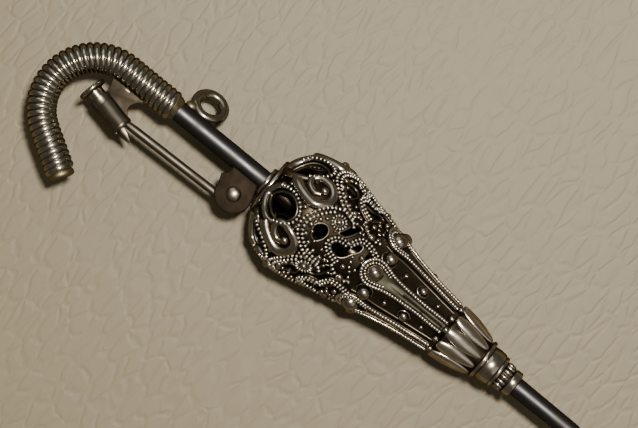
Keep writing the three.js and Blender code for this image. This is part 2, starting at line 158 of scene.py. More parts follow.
camera_data = bpy.data.cameras.new("camera")
camera_data.sensor_width = 36
camera_data.lens = camera_data.sensor_width * view_distance / view_width
camera_data.clip_start = 0.01
camera = bpy.data.objects.new("camera", camera_data)
bpy.context.scene.collection.objects.link(camera)
turn = Matrix((view_right, view_up, view_right.cross(view_up))).transposed().to_4x4()
camera.matrix_world = Matrix.Translation(view_target + Vector((0, 0, view_distance))) @ turn
bpy.context.scene.camera = camera


def lamp(name, size, power, color, place):
    data = bpy.data.lights.new(name, "AREA")
    data.shape = "DISK"
    data.size = size
    data.energy = power
    data.color = color
    obj = bpy.data.objects.new(name, data)
    bpy.context.scene.collection.objects.link(obj)
    obj.location = place
    obj.rotation_euler = (view_target - place).to_track_quat("-Z", "Y").to_euler()


lamp("key", 0.04, 3.5, (1.0, 0.95, 0.86), view_target + Vector((0.004, 0.066, 0.42)))
lamp("window", 0.4, 0.38, (0.9, 0.96, 1.0), view_target + Vector((-0.30, 0.23, 0.34)))
lamp("fill", 0.4, 0.2, (1.0, 0.95, 0.86), view_target + Vector((0.34, -0.04, 0.34)))

world = bpy.data.worlds.new("dim room")
world.use_nodes = True
world.node_tree.nodes["Background"].inputs["Color"].default_value = (0.125, 0.114, 0.092, 1)
world.node_tree.nodes["Background"].inputs["Strength"].default_value = 1.0
bpy.context.scene.world = world
print("camera lens", round(camera_data.lens, 1))

# %% [markdown]
# ## Metal
# The pin is a silver-coloured metal that has been handled for a century: high points are rubbed
# bright and hollows hold a brown-black patina. One function makes all finishes. A noise pattern
# spreads tarnished patches, an ambient occlusion node finds the hollows, and a fine bump gives the
# slightly pitted surface of old metal. The angle between the surface and one fixed direction adds
# painted shade: flanks that turn away from it are darkened, as if the light fell from there.

# %% The metal finish
# Painted shade: surfaces turned away from this direction, which leans towards the bottom of the view, get
# the dark colour.
painted_light_direction = (Vector((0, 0, 1)) - 0.4 * view_up + 0.15 * view_right).normalized()


def metal(name, bright, tarnish_and_shade, roughness, hollow=0.75, reach=0.7, painted_flank_shade=0.85, grain=900.0, bump=0.12,
          metallic=1.0, specular=0.5):
    material = bpy.data.materials.new(name)
    material.use_nodes = True
    nodes, links = material.node_tree.nodes, material.node_tree.links
    shader = nodes["Principled BSDF"]
    shader.inputs["Metallic"].default_value = metallic
    shader.inputs["Specular IOR Level"].default_value = specular
    shader.inputs["Specular Tint"].default_value = (0.22, 0.19, 0.15, 1)
    place = nodes.new("ShaderNodeTexCoord")
    cloud = nodes.new("ShaderNodeTexNoise")
    cloud.inputs["Scale"].default_value = grain
    cloud.inputs["Detail"].default_value = 6.0
    links.new(place.outputs["Object"], cloud.inputs["Vector"])
    spread = nodes.new("ShaderNodeMapRange")
    spread.inputs["From Min"].default_value = 0.38
    spread.inputs["From Max"].default_value = 0.68
    spread.inputs["To Max"].default_value = 0.55
    links.new(cloud.outputs["Fac"], spread.inputs["Value"])
    shade = nodes.new("ShaderNodeAmbientOcclusion")
    shade.samples = 8
    shade.inputs["Distance"].default_value = reach * MM
    depth = nodes.new("ShaderNodeMapRange")
    depth.inputs["From Min"].default_value = 0.25
    depth.inputs["From Max"].default_value = 0.8
    depth.inputs["To Min"].default_value = hollow
    depth.inputs["To Max"].default_value = 0.0
    links.new(shade.outputs["AO"], depth.inputs["Value"])
    # Painted shade: the flanks that turn away from the painted light direction are darkened.
    facing = nodes.new("ShaderNodeVectorMath")
    facing.operation = "DOT_PRODUCT"
    facing.inputs[1].default_value = painted_light_direction
    links.new(place.outputs["Normal"], facing.inputs[0])
    sides = nodes.new("ShaderNodeMapRange")
    sides.inputs["From Min"].default_value = 0.15
    sides.inputs["From Max"].default_value = 0.6
    sides.inputs["To Min"].default_value = painted_flank_shade
    sides.inputs["To Max"].default_value = 0.0
    links.new(facing.outputs["Value"], sides.inputs["Value"])
    worn = nodes.new("ShaderNodeMath")
    worn.operation = "MAXIMUM"
    links.new(spread.outputs["Result"], worn.inputs[0])
    links.new(depth.outputs["Result"], worn.inputs[1])
    # Tarnished patches and patina, then painted shade on the flanks, make one mask for colour and roughness.
    tarnish_and_shade_mask = nodes.new("ShaderNodeMath")
    tarnish_and_shade_mask.operation = "MAXIMUM"
    links.new(worn.outputs["Value"], tarnish_and_shade_mask.inputs[0])
    links.new(sides.outputs["Result"], tarnish_and_shade_mask.inputs[1])
    mix = nodes.new("ShaderNodeMix")
    mix.data_type = "RGBA"
    mix.inputs["A"].default_value = (*bright, 1)
    mix.inputs["B"].default_value = (*tarnish_and_shade, 1)
    links.new(tarnish_and_shade_mask.outputs["Value"], mix.inputs["Factor"])
    links.new(mix.outputs["Result"], shader.inputs["Base Color"])
    gloss = nodes.new("ShaderNodeMapRange")
    gloss.inputs["To Min"].default_value = roughness
    gloss.inputs["To Max"].default_value = min(0.9, roughness + 0.22)
    links.new(tarnish_and_shade_mask.outputs["Value"], gloss.inputs["Value"])
    links.new(gloss.outputs["Result"], shader.inputs["Roughness"])
    pits = nodes.new("ShaderNodeTexNoise")
    pits.inputs["Scale"].default_value = grain * 6
    pits.inputs["Detail"].default_value = 3.0
    links.new(place.outputs["Object"], pits.inputs["Vector"])
    relief = nodes.new("ShaderNodeBump")
    relief.inputs["Strength"].default_value = bump
    relief.inputs["Distance"].default_value = 0.03 * MM
    links.new(pits.outputs["Fac"], relief.inputs["Height"])
    links.new(relief.outputs["Normal"], shader.inputs["Normal"])
    return material


print("the finish maker is ready, painted light from", tuple(round(v, 2) for v in painted_light_direction))

# %% [markdown]
# Each finish has a bright colour for what is rubbed and a dark one for tarnished patches, patina
# and painted shade, and a roughness. Wires and grains are bright, the ground behind them is nearly
# black, and the fittings of the hinged pin are brown. Solder and the end cap are a yellower metal.

# %% The finishes
dark = (0.045, 0.034, 0.023)
polished = metal("rubbed silver", (0.44, 0.395, 0.325), (0.08, 0.062, 0.043), 0.17, bump=0.05)
wound_metal = metal("wound wire", (0.42, 0.39, 0.32), (0.07, 0.055, 0.038), 0.17, bump=0.04)
ball_metal = metal("polished grains", (0.40, 0.35, 0.28), (0.07, 0.055, 0.038), 0.19, bump=0.03)
rod_metal = metal("drawn rod", (0.07, 0.069, 0.073), (0.04, 0.031, 0.023), 0.36, bump=0.05, grain=500.0)
beaded = metal("beaded wire", (0.85, 0.78, 0.67), dark, 0.27, hollow=0.95, reach=0.3, painted_flank_shade=0.9,
               bump=0.05)
ground = metal("patinated ground and painted shade", (0.058, 0.044, 0.028), (0.024, 0.018, 0.012), 0.28, hollow=0.9, reach=1.0,
               bump=0.3)
valley_metal = metal("dark valleys", (0.09, 0.07, 0.047), (0.04, 0.03, 0.02), 0.26, hollow=0.5, reach=0.8,
                     bump=0.2)
# The petals' finish is a lighter copy of the rubbed silver: partly polished metal, partly painted sheen,
# because the lamp's highlight misses the sloping cup.
petal_metal_painted_sheen = metal("petals with painted sheen", (0.62, 0.56, 0.48), (0.20, 0.165, 0.12), 0.19, hollow=0.9, reach=0.5,
                    painted_flank_shade=0.8, bump=0.05)
leaf_metal = metal("leaf panels", (0.068, 0.063, 0.045), (0.035, 0.03, 0.021), 0.4, hollow=0.8, reach=0.8)
findings = metal("tarnished fittings", (0.17, 0.145, 0.11), (0.065, 0.051, 0.036), 0.3, hollow=0.7,
                 painted_flank_shade=0.7, bump=0.1)
# The lighter fittings' finish, for the sleeve, the chain ring and the rivet, is partly wear and partly a
# painted highlight.
worn_and_highlit_findings = metal("worn fittings with painted highlight", (0.30, 0.265, 0.21), (0.075, 0.059, 0.042), 0.22, hollow=0.8,
                      painted_flank_shade=0.7, bump=0.1)
sheet_metal = metal("tarnished sheet", (0.036, 0.029, 0.02), (0.019, 0.015, 0.01), 0.5, hollow=0.6,
                    painted_flank_shade=0.6, bump=0.2)
browned = metal("browned hinge", (0.020, 0.014, 0.009), (0.010, 0.007, 0.005), 0.55, hollow=0.6, bump=0.35,
                metallic=0.3, specular=0.25)
pin_metal = metal("pin wire", (0.105, 0.09, 0.07), (0.05, 0.039, 0.028), 0.44, painted_flank_shade=0.6, grain=350.0)
brass = metal("yellow solder", (0.24, 0.20, 0.118), (0.11, 0.085, 0.047), 0.38, hollow=0.6, painted_flank_shade=0.5,
              bump=0.2)
print("finishes", len([m for m in bpy.data.materials if m.use_nodes]))

# %% [markdown]
# ## Basic makers
# Every piece starts as lists of corners and faces. `piece` makes a mesh object of them with its
# faces turned outwards, and `soft_edges` shades it smooth but keeps its real edges crisp, as a worn
# but well made piece looks.

# %% Mesh helpers
def piece(name, vertices, faces, material):
    mesh = bpy.data.meshes.new(name)
    mesh.from_pydata([tuple(v) for v in vertices], [], faces)
    mesh.materials.append(material)
    obj = bpy.data.objects.new(name, mesh)
    bpy.context.scene.collection.objects.link(obj)
    shaped = bmesh.new()
    shaped.from_mesh(mesh)
    bmesh.ops.recalc_face_normals(shaped, faces=shaped.faces)
    for face in shaped.faces:
        face.smooth = True
    shaped.to_mesh(mesh)
    shaped.free()
    return obj


def soft_edges(obj, degrees=35):
    """Smooth shading that keeps the edges sharper than this angle."""
    mesh = obj.data
    shaped = bmesh.new()
    shaped.from_mesh(mesh)
    for edge in shaped.edges:
        edge.smooth = len(edge.link_faces) == 2 and edge.calc_face_angle(0) < math.radians(degrees)
    shaped.to_mesh(mesh)
    shaped.free()
    return obj


print("mesh helpers: piece and soft_edges")

# %% [markdown]
# Most of the pin is turned or drawn, so two makers cover it: `turned` spins a profile about a line,
# and `tube` sends a round section along a path. Both build closed meshes, so there is nothing to
# clean up.

# %% Turned and drawn pieces
def turned(name, profile, material, sides=48, to_point=on_shaft, ripple=None):
    """Spins (x, radius) corners about the shaft. A profile that ends off the axis closes on itself."""
    vertices, rings = [], []
    for x, radius in profile:
        if radius == 0:
            rings.append([len(vertices)] * sides)
            vertices.append(to_point(x))
            continue
        rings.append(list(range(len(vertices), len(vertices) + sides)))
        for i in range(sides):
            angle = 2 * math.pi * i / sides
            r = radius * (ripple(x, angle) if ripple else 1)
            vertices.append(to_point(x, r * math.sin(angle), r * math.cos(angle)))
    pairs = list(zip(rings, rings[1:]))
    if profile[0][1] != 0:
        pairs.append((rings[-1], rings[0]))
    faces = []
    for low, high in pairs:
        for i in range(sides):
            j = (i + 1) % sides
            corners = list(dict.fromkeys((low[i], low[j], high[j], high[i])))
            if len(corners) > 2:
                faces.append(corners)
    return soft_edges(piece(name, vertices, faces, material))


def tube(name, points, radii, material, sides=16):
    """A round bar through points in metres, with a radius in millimetres at each, closed at both ends."""
    points = [Vector(p) for p in points]
    radii = radii if hasattr(radii, "__len__") else [radii] * len(points)
    vertices, faces = [], []
    across = Vector((0, 0, 1))
    for i, point in enumerate(points):
        tangent = (points[min(i + 1, len(points) - 1)] - points[max(i - 1, 0)]).normalized()
        side = tangent.cross(across).normalized()
        across = side.cross(tangent).normalized()
        for k in range(sides):
            angle = 2 * math.pi * k / sides
            vertices.append(point + (side * math.cos(angle) + across * math.sin(angle)) * radii[i] * MM)
    for i in range(len(points) - 1):
        for k in range(sides):
            a, b = i * sides + k, i * sides + (k + 1) % sides
            faces.append((a, b, b + sides, a + sides))
    faces.append(tuple(range(sides)))
    faces.append(tuple(range(len(vertices) - sides, len(vertices))))
    return soft_edges(piece(name, vertices, faces, material))


print("makers: turned and tube")

# %% [markdown]
# Bent wires are drawn as a few corners with a smooth line through them, which is easier to adjust
# than a long list of points. Copies of a bent piece are joined into one mesh, with their materials
# kept.

# %% Smooth lines and joined pieces
def curve_through(corners, count=24):
    """A smooth line through a few corners (Catmull-Rom), as a list of tuples."""
    corners = np.array(corners, float)
    padded = np.vstack([2 * corners[0] - corners[1], corners, 2 * corners[-1] - corners[-2]])
    line = []
    for a, b, c, d in zip(padded, padded[1:], padded[2:], padded[3:]):
        for t in np.linspace(0, 1, count, endpoint=False):
            line.append(0.5 * (2 * b + (c - a) * t + (2 * a - 5 * b + 4 * c - d) * t**2
                               + (3 * b - a - 3 * c + d) * t**3))
    line.append(corners[-1])
    return [tuple(p) for p in line]


def join(name, parts):
    """Puts several mesh objects into one."""
    shaped = bmesh.new()
    materials = []
    for part in parts:
        for material in part.data.materials:
            if material not in materials:
                materials.append(material)
    for part in parts:
        before = len(shaped.faces)
        shaped.from_mesh(part.data)
        shaped.faces.ensure_lookup_table()
        for i in range(before, len(shaped.faces)):
            face = shaped.faces[i]
            face.material_index = materials.index(part.data.materials[face.material_index])
        bpy.data.objects.remove(part)
    mesh = bpy.data.meshes.new(name)
    shaped.to_mesh(mesh)
    shaped.free()
    for material in materials:
        mesh.materials.append(material)
    obj = bpy.data.objects.new(name, mesh)
    bpy.context.scene.collection.objects.link(obj)
    print(name, len(mesh.polygons), "faces")
    return obj


print("a line through 3 corners has", len(curve_through([(0, 0), (1, 1), (2, 0)])), "points")

# %% [markdown]
# ## Geometry Nodes
# Wire, beads and coils repeat hundreds of times along a path, which is work for Geometry Nodes.
# `node_tree` starts a tree with named inputs, and `grow` runs a tree on a curve, keeps the result
# as a plain mesh and throws the modifier away, so the result is ordinary geometry.

# %% Node tree helpers
def node_tree(name, inputs):
    tree = bpy.data.node_groups.new(name, "GeometryNodeTree")
    tree.interface.new_socket("Geometry", in_out="INPUT", socket_type="NodeSocketGeometry")
    for label, kind, default in inputs:
        socket = tree.interface.new_socket(label, in_out="INPUT", socket_type=kind)
        if default is not None:
            socket.default_value = default
    tree.interface.new_socket("Geometry", in_out="OUTPUT", socket_type="NodeSocketGeometry")
    return tree, tree.nodes.new("NodeGroupInput"), tree.nodes.new("NodeGroupOutput")


def add(tree, kind, links=None, **settings):
    """Adds a node, sets its properties or unlinked inputs, and links its inputs."""
    node = tree.nodes.new(kind)
    for key, value in settings.items():
        setattr(node, key, value)
    for key, source in (links or {}).items():
        target = node.inputs[key]
        if isinstance(source, bpy.types.NodeSocket):
            tree.links.new(source, target)
        else:
            target.default_value = source
    return node


def grow(name, source, tree, values):
    """Runs a tree on an object, with its inputs set by their identifiers, and keeps the result as a mesh."""
    modifier = source.modifiers.new("nodes", "NODES")
    modifier.node_group = tree
    for item in tree.interface.items_tree:
        if item.in_out == "INPUT" and item.name in values:
            modifier[item.identifier] = values[item.name]
    bpy.context.view_layer.update()
    evaluated = source.evaluated_get(bpy.context.evaluated_depsgraph_get())
    mesh = bpy.data.meshes.new_from_object(evaluated)
    mesh.name = name
    source.modifiers.remove(modifier)
    bpy.data.objects.remove(source)
    obj = bpy.data.objects.new(name, mesh)
    bpy.context.scene.collection.objects.link(obj)
    print(name, len(mesh.polygons), "faces")
    return obj


def path_object(name, lines, cyclic=False):
    """A curve object with one open or closed polyline for each list of points in metres."""
    data = bpy.data.curves.new(name, "CURVE")
    data.dimensions = "3D"
    for line in lines:
        spline = data.splines.new("POLY")
        spline.points.add(len(line) - 1)
        for point, place in zip(spline.points, line):
            point.co = (*place, 1)
        spline.use_cyclic_u = cyclic
    obj = bpy.data.objects.new(name, data)
    bpy.context.scene.collection.objects.link(obj)
    return obj


print("node helpers: node_tree, add, grow and path_object")

# %% [markdown]
# ## Shaft and crook
# The shaft is one drawn rod. It is straight from the ferrule to the wire winding, turns through
# most of a circle and ends in a short straight tail. The same centre line carries the rod and its
# winding.

# %% Centre line of the rod
bend_start = -18.2
bend_radius = 5.3
bend_turn = math.radians(149)
tail_length = 4.5


def centre_line(from_x, tail=tail_length, step=0.25):
    """Points in metres from a place on the shaft, round the crook, to the end of the tail."""
    straight_steps = max(2, round((from_x - bend_start) / step))
    line = [on_shaft(x) for x in np.linspace(from_x, bend_start, straight_steps)]
    for turned_by in np.linspace(0, bend_turn, round(bend_radius * bend_turn / step))[1:]:
        angle = math.pi / 2 + turned_by
        line.append(on_shaft(
            bend_start + bend_radius * math.cos(angle),
            -bend_radius + bend_radius * math.sin(angle),
        ))
    heading = math.pi + bend_turn
    last = line[-1].copy()
    for along in np.linspace(0, tail, round(tail / step))[1:]:
        line.append(last + Vector((math.cos(heading), math.sin(heading), 0)) * along * MM)
    return line


shaft = tube("shaft_rod", centre_line(spike_start - 0.1), rod_radius, rod_metal, sides=32)
# Inside the canopy the rod takes the dark ground finish as painted shade, for the shade that the canopy
# casts on it.
shaft.data.materials.append(ground)
painted_shade_from = 0.8
for polygon in shaft.data.polygons:
    if painted_shade_from < station(polygon.center.x) < canopy_end:
        polygon.material_index = 1
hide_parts("shaft")
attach(shaft, "root")

spike = turned("spike_rod", [
    (spike_start, 0), (spike_start, rod_radius * 0.94), (spike_start + 7, rod_radius * 0.88),
    (spike_end - 1.2, 0.6), (spike_end - 0.4, 0.46), (spike_end - 0.1, 0.28), (spike_end, 0),
], rod_metal)
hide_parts("ferrule_spike")
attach(spike, "root")
print("shaft", len(shaft.data.polygons), "faces, spike", len(spike.data.polygons), "faces")

# %% [markdown]
# The handle is wound with wire, turn against turn. In Geometry Nodes the centre line is resampled,
# every point is pushed out along a normal that turns with its number, and the helix that this gives
# carries a round section. The number of turns is the path's length over the pitch, so the turns lie
# side by side.

# %% Winding
wire_radius = 0.4
winding_pitch = 0.593
winding_radius = 1.58
wire_steps = 26


def winding_tree():
    tree, given, result = node_tree("winding", [
        ("Wire Radius", "NodeSocketFloat", 0.0003),
        ("Coil Radius", "NodeSocketFloat", 0.0013),
        ("Points", "NodeSocketInt", 800),
        ("Turn per Point", "NodeSocketFloat", 0.3),
        ("First Angle", "NodeSocketFloat", 0.0),
        ("Metal", "NodeSocketMaterial", None),
    ])
    line = add(tree, "GeometryNodeResampleCurve", {
        "Curve": given.outputs["Geometry"], "Count": given.outputs["Points"]})
    index = add(tree, "GeometryNodeInputIndex")
    wound = add(tree, "ShaderNodeMath", {0: index.outputs[0], 1: given.outputs["Turn per Point"]},
                operation="MULTIPLY")
    angle = add(tree, "ShaderNodeMath", {0: wound.outputs[0], 1: given.outputs["First Angle"]},
                operation="ADD")
    cosine = add(tree, "ShaderNodeMath", {0: angle.outputs[0]}, operation="COSINE")
    sine = add(tree, "ShaderNodeMath", {0: angle.outputs[0]}, operation="SINE")
    normal = add(tree, "GeometryNodeInputNormal")
    tangent = add(tree, "GeometryNodeInputTangent")
    across = add(tree, "ShaderNodeVectorMath", {0: tangent.outputs[0], 1: normal.outputs[0]},
                 operation="CROSS_PRODUCT")
    out = add(tree, "ShaderNodeVectorMath", {0: normal.outputs[0], "Scale": cosine.outputs[0]},
              operation="SCALE")
    over = add(tree, "ShaderNodeVectorMath", {0: across.outputs[0], "Scale": sine.outputs[0]},
               operation="SCALE")
    ray = add(tree, "ShaderNodeVectorMath", {0: out.outputs[0], 1: over.outputs[0]}, operation="ADD")
    push = add(tree, "ShaderNodeVectorMath", {0: ray.outputs[0], "Scale": given.outputs["Coil Radius"]},
               operation="SCALE")
    helix = add(tree, "GeometryNodeSetPosition", {
        "Geometry": line.outputs["Curve"], "Offset": push.outputs[0]})
    section = add(tree, "GeometryNodeCurvePrimitiveCircle", {
        "Resolution": 12, "Radius": given.outputs["Wire Radius"]})
    wire = add(tree, "GeometryNodeCurveToMesh", {
        "Curve": helix.outputs["Geometry"], "Profile Curve": section.outputs["Curve"], "Fill Caps": True})
    smooth = add(tree, "GeometryNodeSetShadeSmooth", {"Geometry": wire.outputs["Mesh"]})
    real = add(tree, "GeometryNodeRealizeInstances", {"Geometry": smooth.outputs[0]})
    coat = add(tree, "GeometryNodeSetMaterial", {
        "Geometry": real.outputs[0], "Material": given.outputs["Metal"]})
    tree.links.new(coat.outputs[0], result.inputs[0])
    return tree


print("winding pitch", winding_pitch, "for wire of", 2 * wire_radius)

# %% [markdown]
# The winding follows the shaft's own centre line from the solder collar to the end of the tail, and
# rides with the root because nothing on it moves.

# %% Winding on the crook
wound_line = centre_line(wrap_stop - wire_radius + 0.15, tail=tail_length - wire_radius + 0.3)
wound_length = sum((b - a).length for a, b in zip(wound_line, wound_line[1:])) / MM
turns = wound_length / winding_pitch
winding = grow("handle_winding", path_object("wound path", [wound_line]), winding_tree(), {
    "Wire Radius": wire_radius * MM,
    "Coil Radius": (winding_radius - wire_radius) * MM,
    "Points": round(turns * wire_steps) + 1,
    "Turn per Point": 2 * math.pi / wire_steps,
    "First Angle": math.pi,
    "Metal": wound_metal,
})
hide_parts("handle_wrap")
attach(winding, "root")
print("turns of wire", round(turns, 1))

# %% [markdown]
# The winding stops at two soldered ends. On the shaft a yellow collar of solder runs all round the
# rod, and at the end of the tail a plain cap closes the crook.

# %% Winding ends
def lathe_at(origin, axis):
    """A to_point for `turned` about any line: a height along the axis, then two distances across it."""
    along = Vector(axis).normalized()
    helper = Vector((0, 0, 1)) if abs(along.z) < 0.9 else Vector((0, 1, 0))
    side = along.cross(helper).normalized()
    up = side.cross(along)

    def to_point(height, a=0.0, b=0.0):
        return Vector(origin) + (along * height + side * a + up * b) * MM
    return to_point


def rounded_ends(length, radius, edge):
    """The profile of a solid disc or bar with rounded edges."""
    quarter = [i * math.pi / 8 for i in range(5)]
    low = [(edge * (1 - math.cos(a)), radius - edge + edge * math.sin(a)) for a in quarter]
    high = [(length - inset, r) for inset, r in reversed(low)]
    return [(0, 0)] + low + high + [(length, 0)]


rod_line = centre_line(wrap_stop)
tail_end = rod_line[-1]
tail_way = (rod_line[-1] - rod_line[-2]).normalized()
cap_length, cap_radius, cap_edge = 0.8, 1.38, 0.34
handle_cap = turned("handle_cap", rounded_ends(cap_length, cap_radius, cap_edge), brass,
                    to_point=lathe_at(tail_end, tail_way))
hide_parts("handle_end_cap")
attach(handle_cap, "root")

solder_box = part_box("wrap_solder")
solder_low, solder_high = station(solder_box[0].x), station(solder_box[1].x)
solder_rise = (solder_box[1].z - solder_box[0].z) / 2 / MM


def lumpy(x, angle):
    """Solder never flows into a perfect ring."""
    return 1 + 0.035 * math.sin(3 * angle + 1.2) + 0.02 * math.sin(7 * angle + x)


solder_ring = turned("winding_solder", [
    (solder_low - 0.3, rod_radius - 0.05), (solder_low - 0.3, solder_rise * 0.84),
    (solder_low, solder_rise * 0.86), (solder_low + 0.15, solder_rise * 0.8),
    (solder_high - 0.05, rod_radius + 0.13),
    (solder_high + 0.1, rod_radius + 0.03), (solder_high + 0.1, rod_radius - 0.05),
], brass, ripple=lambda x, angle: lumpy(x, angle) if solder_low - 0.2 < x < solder_high else 1)
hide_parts("wrap_solder")
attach(solder_ring, "root")
print("solder ring from", round(solder_low, 2), "to", round(solder_high, 2))

# %% [markdown]
# ## The canopy's skin
# The canopy is a body of revolution with a six-fold pattern. The pattern is drawn flat: x runs
# along the shaft, w runs round the surface, both in millimetres, with w = 0 in the middle of a
# sector. `skin` wraps a flat point onto the body, turns it to its sector and lifts it along the
# surface's normal.

# %% Wrap flat drawings onto the canopy
sectors = 6
canopy_radius = (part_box("crown_lobe_1")[1].z - axis_z) / MM
silhouette = [(0, 0.42), (0.04, 0.68), (0.09, 0.86), (0.2, 1), (0.3, 0.97), (0.43, 0.86), (0.6, 0.73),
              (0.8, 0.58), (1, 0.48)]
outline_curve = np.array(curve_through([(x * canopy_end, r * canopy_radius) for x, r in silhouette], 12))
hairpin_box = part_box("hairpin_1")
hairpin_centre = (hairpin_box[0] + hairpin_box[1]) / 2
first_sector = math.atan2(hairpin_centre.y - axis_y, hairpin_centre.z - axis_z)


def skin_radius(x):
    return float(np.interp(x, outline_curve[:, 0], outline_curve[:, 1]))


def skin(x, w, lift=0.0, sector=0):
    radius = skin_radius(x)
    slope = (skin_radius(x + 0.05) - skin_radius(x - 0.05)) / 0.1
    angle = first_sector + sector * 2 * math.pi / sectors + w / radius
    steep = math.hypot(1, slope)
    out = radius + lift / steep
    return on_shaft(x - lift * slope / steep, out * math.sin(angle), out * math.cos(angle))


def wrapped(line, lift, sector):
    """A flat line on the skin. Corners are (x, w) or (x, w, extra lift)."""
    return [skin(p[0], p[1], lift + (p[2] if len(p) > 2 else 0), sector) for p in line]


print("first sector", round(math.degrees(first_sector), 1), "canopy radius", round(canopy_radius, 2))

# %% [markdown]
# ## Pierced sheets
# Under the beading lies a thin pierced sheet. A flat outline with holes is filled with triangles by
# a constrained Delaunay triangulation, with extra points inside so that it can bend, and then
# wrapped on the body. The same flat mesh gives the outer and the inner face, and a wall follows
# every open edge, which makes it a closed sheet.

# %% Flat outlines filled with triangles
def closed_curve(corners, count=8):
    """A smooth closed outline through a few corners."""
    ring = list(corners)
    line = curve_through(ring[-2:] + ring + ring[:3], count)
    return line[2 * count:(2 + len(ring)) * count]


def inside(point, outline):
    x, y = point
    odd = False
    for (x1, y1), (x2, y2) in zip(outline, outline[1:] + outline[:1]):
        if (y1 > y) != (y2 > y) and x < (x2 - x1) * (y - y1) / (y2 - y1) + x1:
            odd = not odd
    return odd


def along_sides(corners, step):
    """Points on the straight sides of an outline, no further apart than a step."""
    points = []
    for (x1, y1), (x2, y2) in zip(corners, corners[1:] + corners[:1]):
        count = max(1, math.ceil(math.hypot(x2 - x1, y2 - y1) / step))
        points += [(x1 + (x2 - x1) * i / count, y1 + (y2 - y1) * i / count) for i in range(count)]
    return points


def flat_mesh(outline, holes, spacing):
    """Points and triangles that fill an outline and leave its holes open."""
    rings = [along_sides(ring, spacing) for ring in [outline] + holes]
    points, edges = [], []
    for ring in rings:
        first = len(points)
        points += [Vector(p) for p in ring]
        edges += [(first + i, first + (i + 1) % len(ring)) for i in range(len(ring))]
    border = np.array([tuple(p) for p in points])
    low, high = border.min(axis=0), border.max(axis=0)
    for row, x in enumerate(np.arange(low[0], high[0], spacing * 0.87)):
        for w in np.arange(low[1] + (row % 2) * spacing / 2, high[1], spacing):
            apart = np.hypot(border[:, 0] - x, border[:, 1] - w).min()
            in_hole = any(inside((x, w), hole) for hole in holes)
            if apart > spacing * 0.55 and inside((x, w), outline) and not in_hole:
                points.append(Vector((x, w)))
    found, _, triangles, *_ = delaunay_2d_cdt(points, edges, [], 0, 1e-6)
    kept = []
    for triangle in triangles:
        middle = sum((found[i] for i in triangle), Vector((0, 0))) / 3
        if inside(middle, outline) and not any(inside(middle, h) for h in holes):
            kept.append(tuple(triangle))
    return [tuple(p) for p in found], kept


square = [(0, 0), (1, 0), (1, 1), (0, 1)]
print("a unit square at spacing 0.4 has", len(flat_mesh(square, [], 0.4)[1]), "triangles")

# %% [markdown]
# The flat mesh becomes metal in one step: an outer layer at its lift, an inner layer one thickness
# below, and walls along the open edges. All the sectors of a sheet are one piece, as they would be
# cut from one blank.

# %% Pierced sheet maker
def thick_sheet(name, outline, holes, lift_at, thickness, material, which=range(sectors), spacing=0.4):
    """Wraps one flat drawing on several sectors as closed sheets, all in one piece."""
    points, triangles = flat_mesh(outline, holes, spacing)
    border = {}
    for a, b, c in triangles:
        for edge in ((a, b), (b, c), (c, a)):
            border[edge] = border.get(edge, 0) + 1
    open_edges = [edge for edge in border if (edge[1], edge[0]) not in border]
    vertices, faces = [], []
    for sector in which:
        first, count = len(vertices), len(points)
        vertices += [skin(x, w, lift_at(x, w), sector) for x, w in points]
        vertices += [skin(x, w, lift_at(x, w) - thickness, sector) for x, w in points]
        faces += [tuple(first + i for i in triangle) for triangle in triangles]
        faces += [tuple(first + count + i for i in reversed(triangle)) for triangle in triangles]
        faces += [(first + a, first + b, first + count + b, first + count + a) for a, b in open_edges]
    sheet = soft_edges(piece(name, vertices, faces, material), 50)
    print(name, len(faces), "faces")
    return sheet


print("sheet maker: thick_sheet, on", sectors, "sectors")

# %% [markdown]
# The sheet of the crown and scrolls runs from the collar to the hairpin heads. Each sector has an
# oval window in the crown and three openings among the scrolls. The strip is cut where no opening
# crosses it.

# %% Crown and scroll sheet
crown_window = closed_curve([(0.4, -0.35), (1.0, 0.75), (2.3, 1.2), (3.4, 0.65), (3.9, -0.4), (3.45, -1.45),
                             (2.4, -2.0), (1.1, -1.45)])
rosette_window = closed_curve([(6.2, 0.3), (6.75, 1.0), (7.45, 1.0), (7.85, 0.35), (7.7, -0.5), (7.2, -1.1),
                               (6.5, -0.75)])
side_window = closed_curve([(8.6, 1.25), (9.0, 2.2), (9.3, 3.05), (9.9, 3.45), (10.3, 3.1), (10.0, 2.4),
                            (9.7, 1.75), (9.2, 1.2)])
arch_window = closed_curve([(8.7, -0.15), (9.15, 0.5), (10.0, 0.75), (10.55, 1.55), (11.3, 1.75),
                            (11.4, 1.0), (10.9, 0.2), (10.5, -0.6), (9.8, -1.05), (9.05, -0.75)])
windows = [crown_window, rosette_window, side_window, arch_window]
strip_low = math.radians(-22.5)
strip_high = math.radians(37.5)
sheet_x = [0.12, 0.3, 0.6, 0.95, 1.4, 2, 2.8, 3.8, 5, 6.5, 8, 9.5, 11, 12.1]
sheet_outline = ([(x, strip_low * skin_radius(x)) for x in sheet_x]
                 + [(x, strip_high * skin_radius(x)) for x in reversed(sheet_x)])
ground_lift = -0.62
volute_x, volute_w = 4.0, 3.35
volute_size = 1.75


def crown_relief(x, w):
    """The ground swells gently towards the volutes and dips at the windows."""
    reach = math.hypot(x - volute_x, w - volute_w) / volute_size
    return ground_lift + 0.12 * math.exp(-reach**2)


sheet_thickness = 0.35
crown_sheet = thick_sheet("crown_and_scroll_sheet", sheet_outline, windows, crown_relief, sheet_thickness,
                          ground)
sector_numbers = range(1, sectors + 1)
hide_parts(*[f"crown_lobe_{i}" for i in sector_numbers],
            *[f"scroll_panel_{i}" for i in sector_numbers])
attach(crown_sheet, "root")

# %% [markdown]
# ## Beaded wire
# Beaded wire is a row of small balls on a thin core. One Geometry Nodes tree walks the path in
# steps of one pitch and puts a ball on every step, squeezed along the path. A second tree sweeps
# plain wire, for cores and for wires without beads. Each ball has only a few dozen faces because
# there are about two thousand of them.

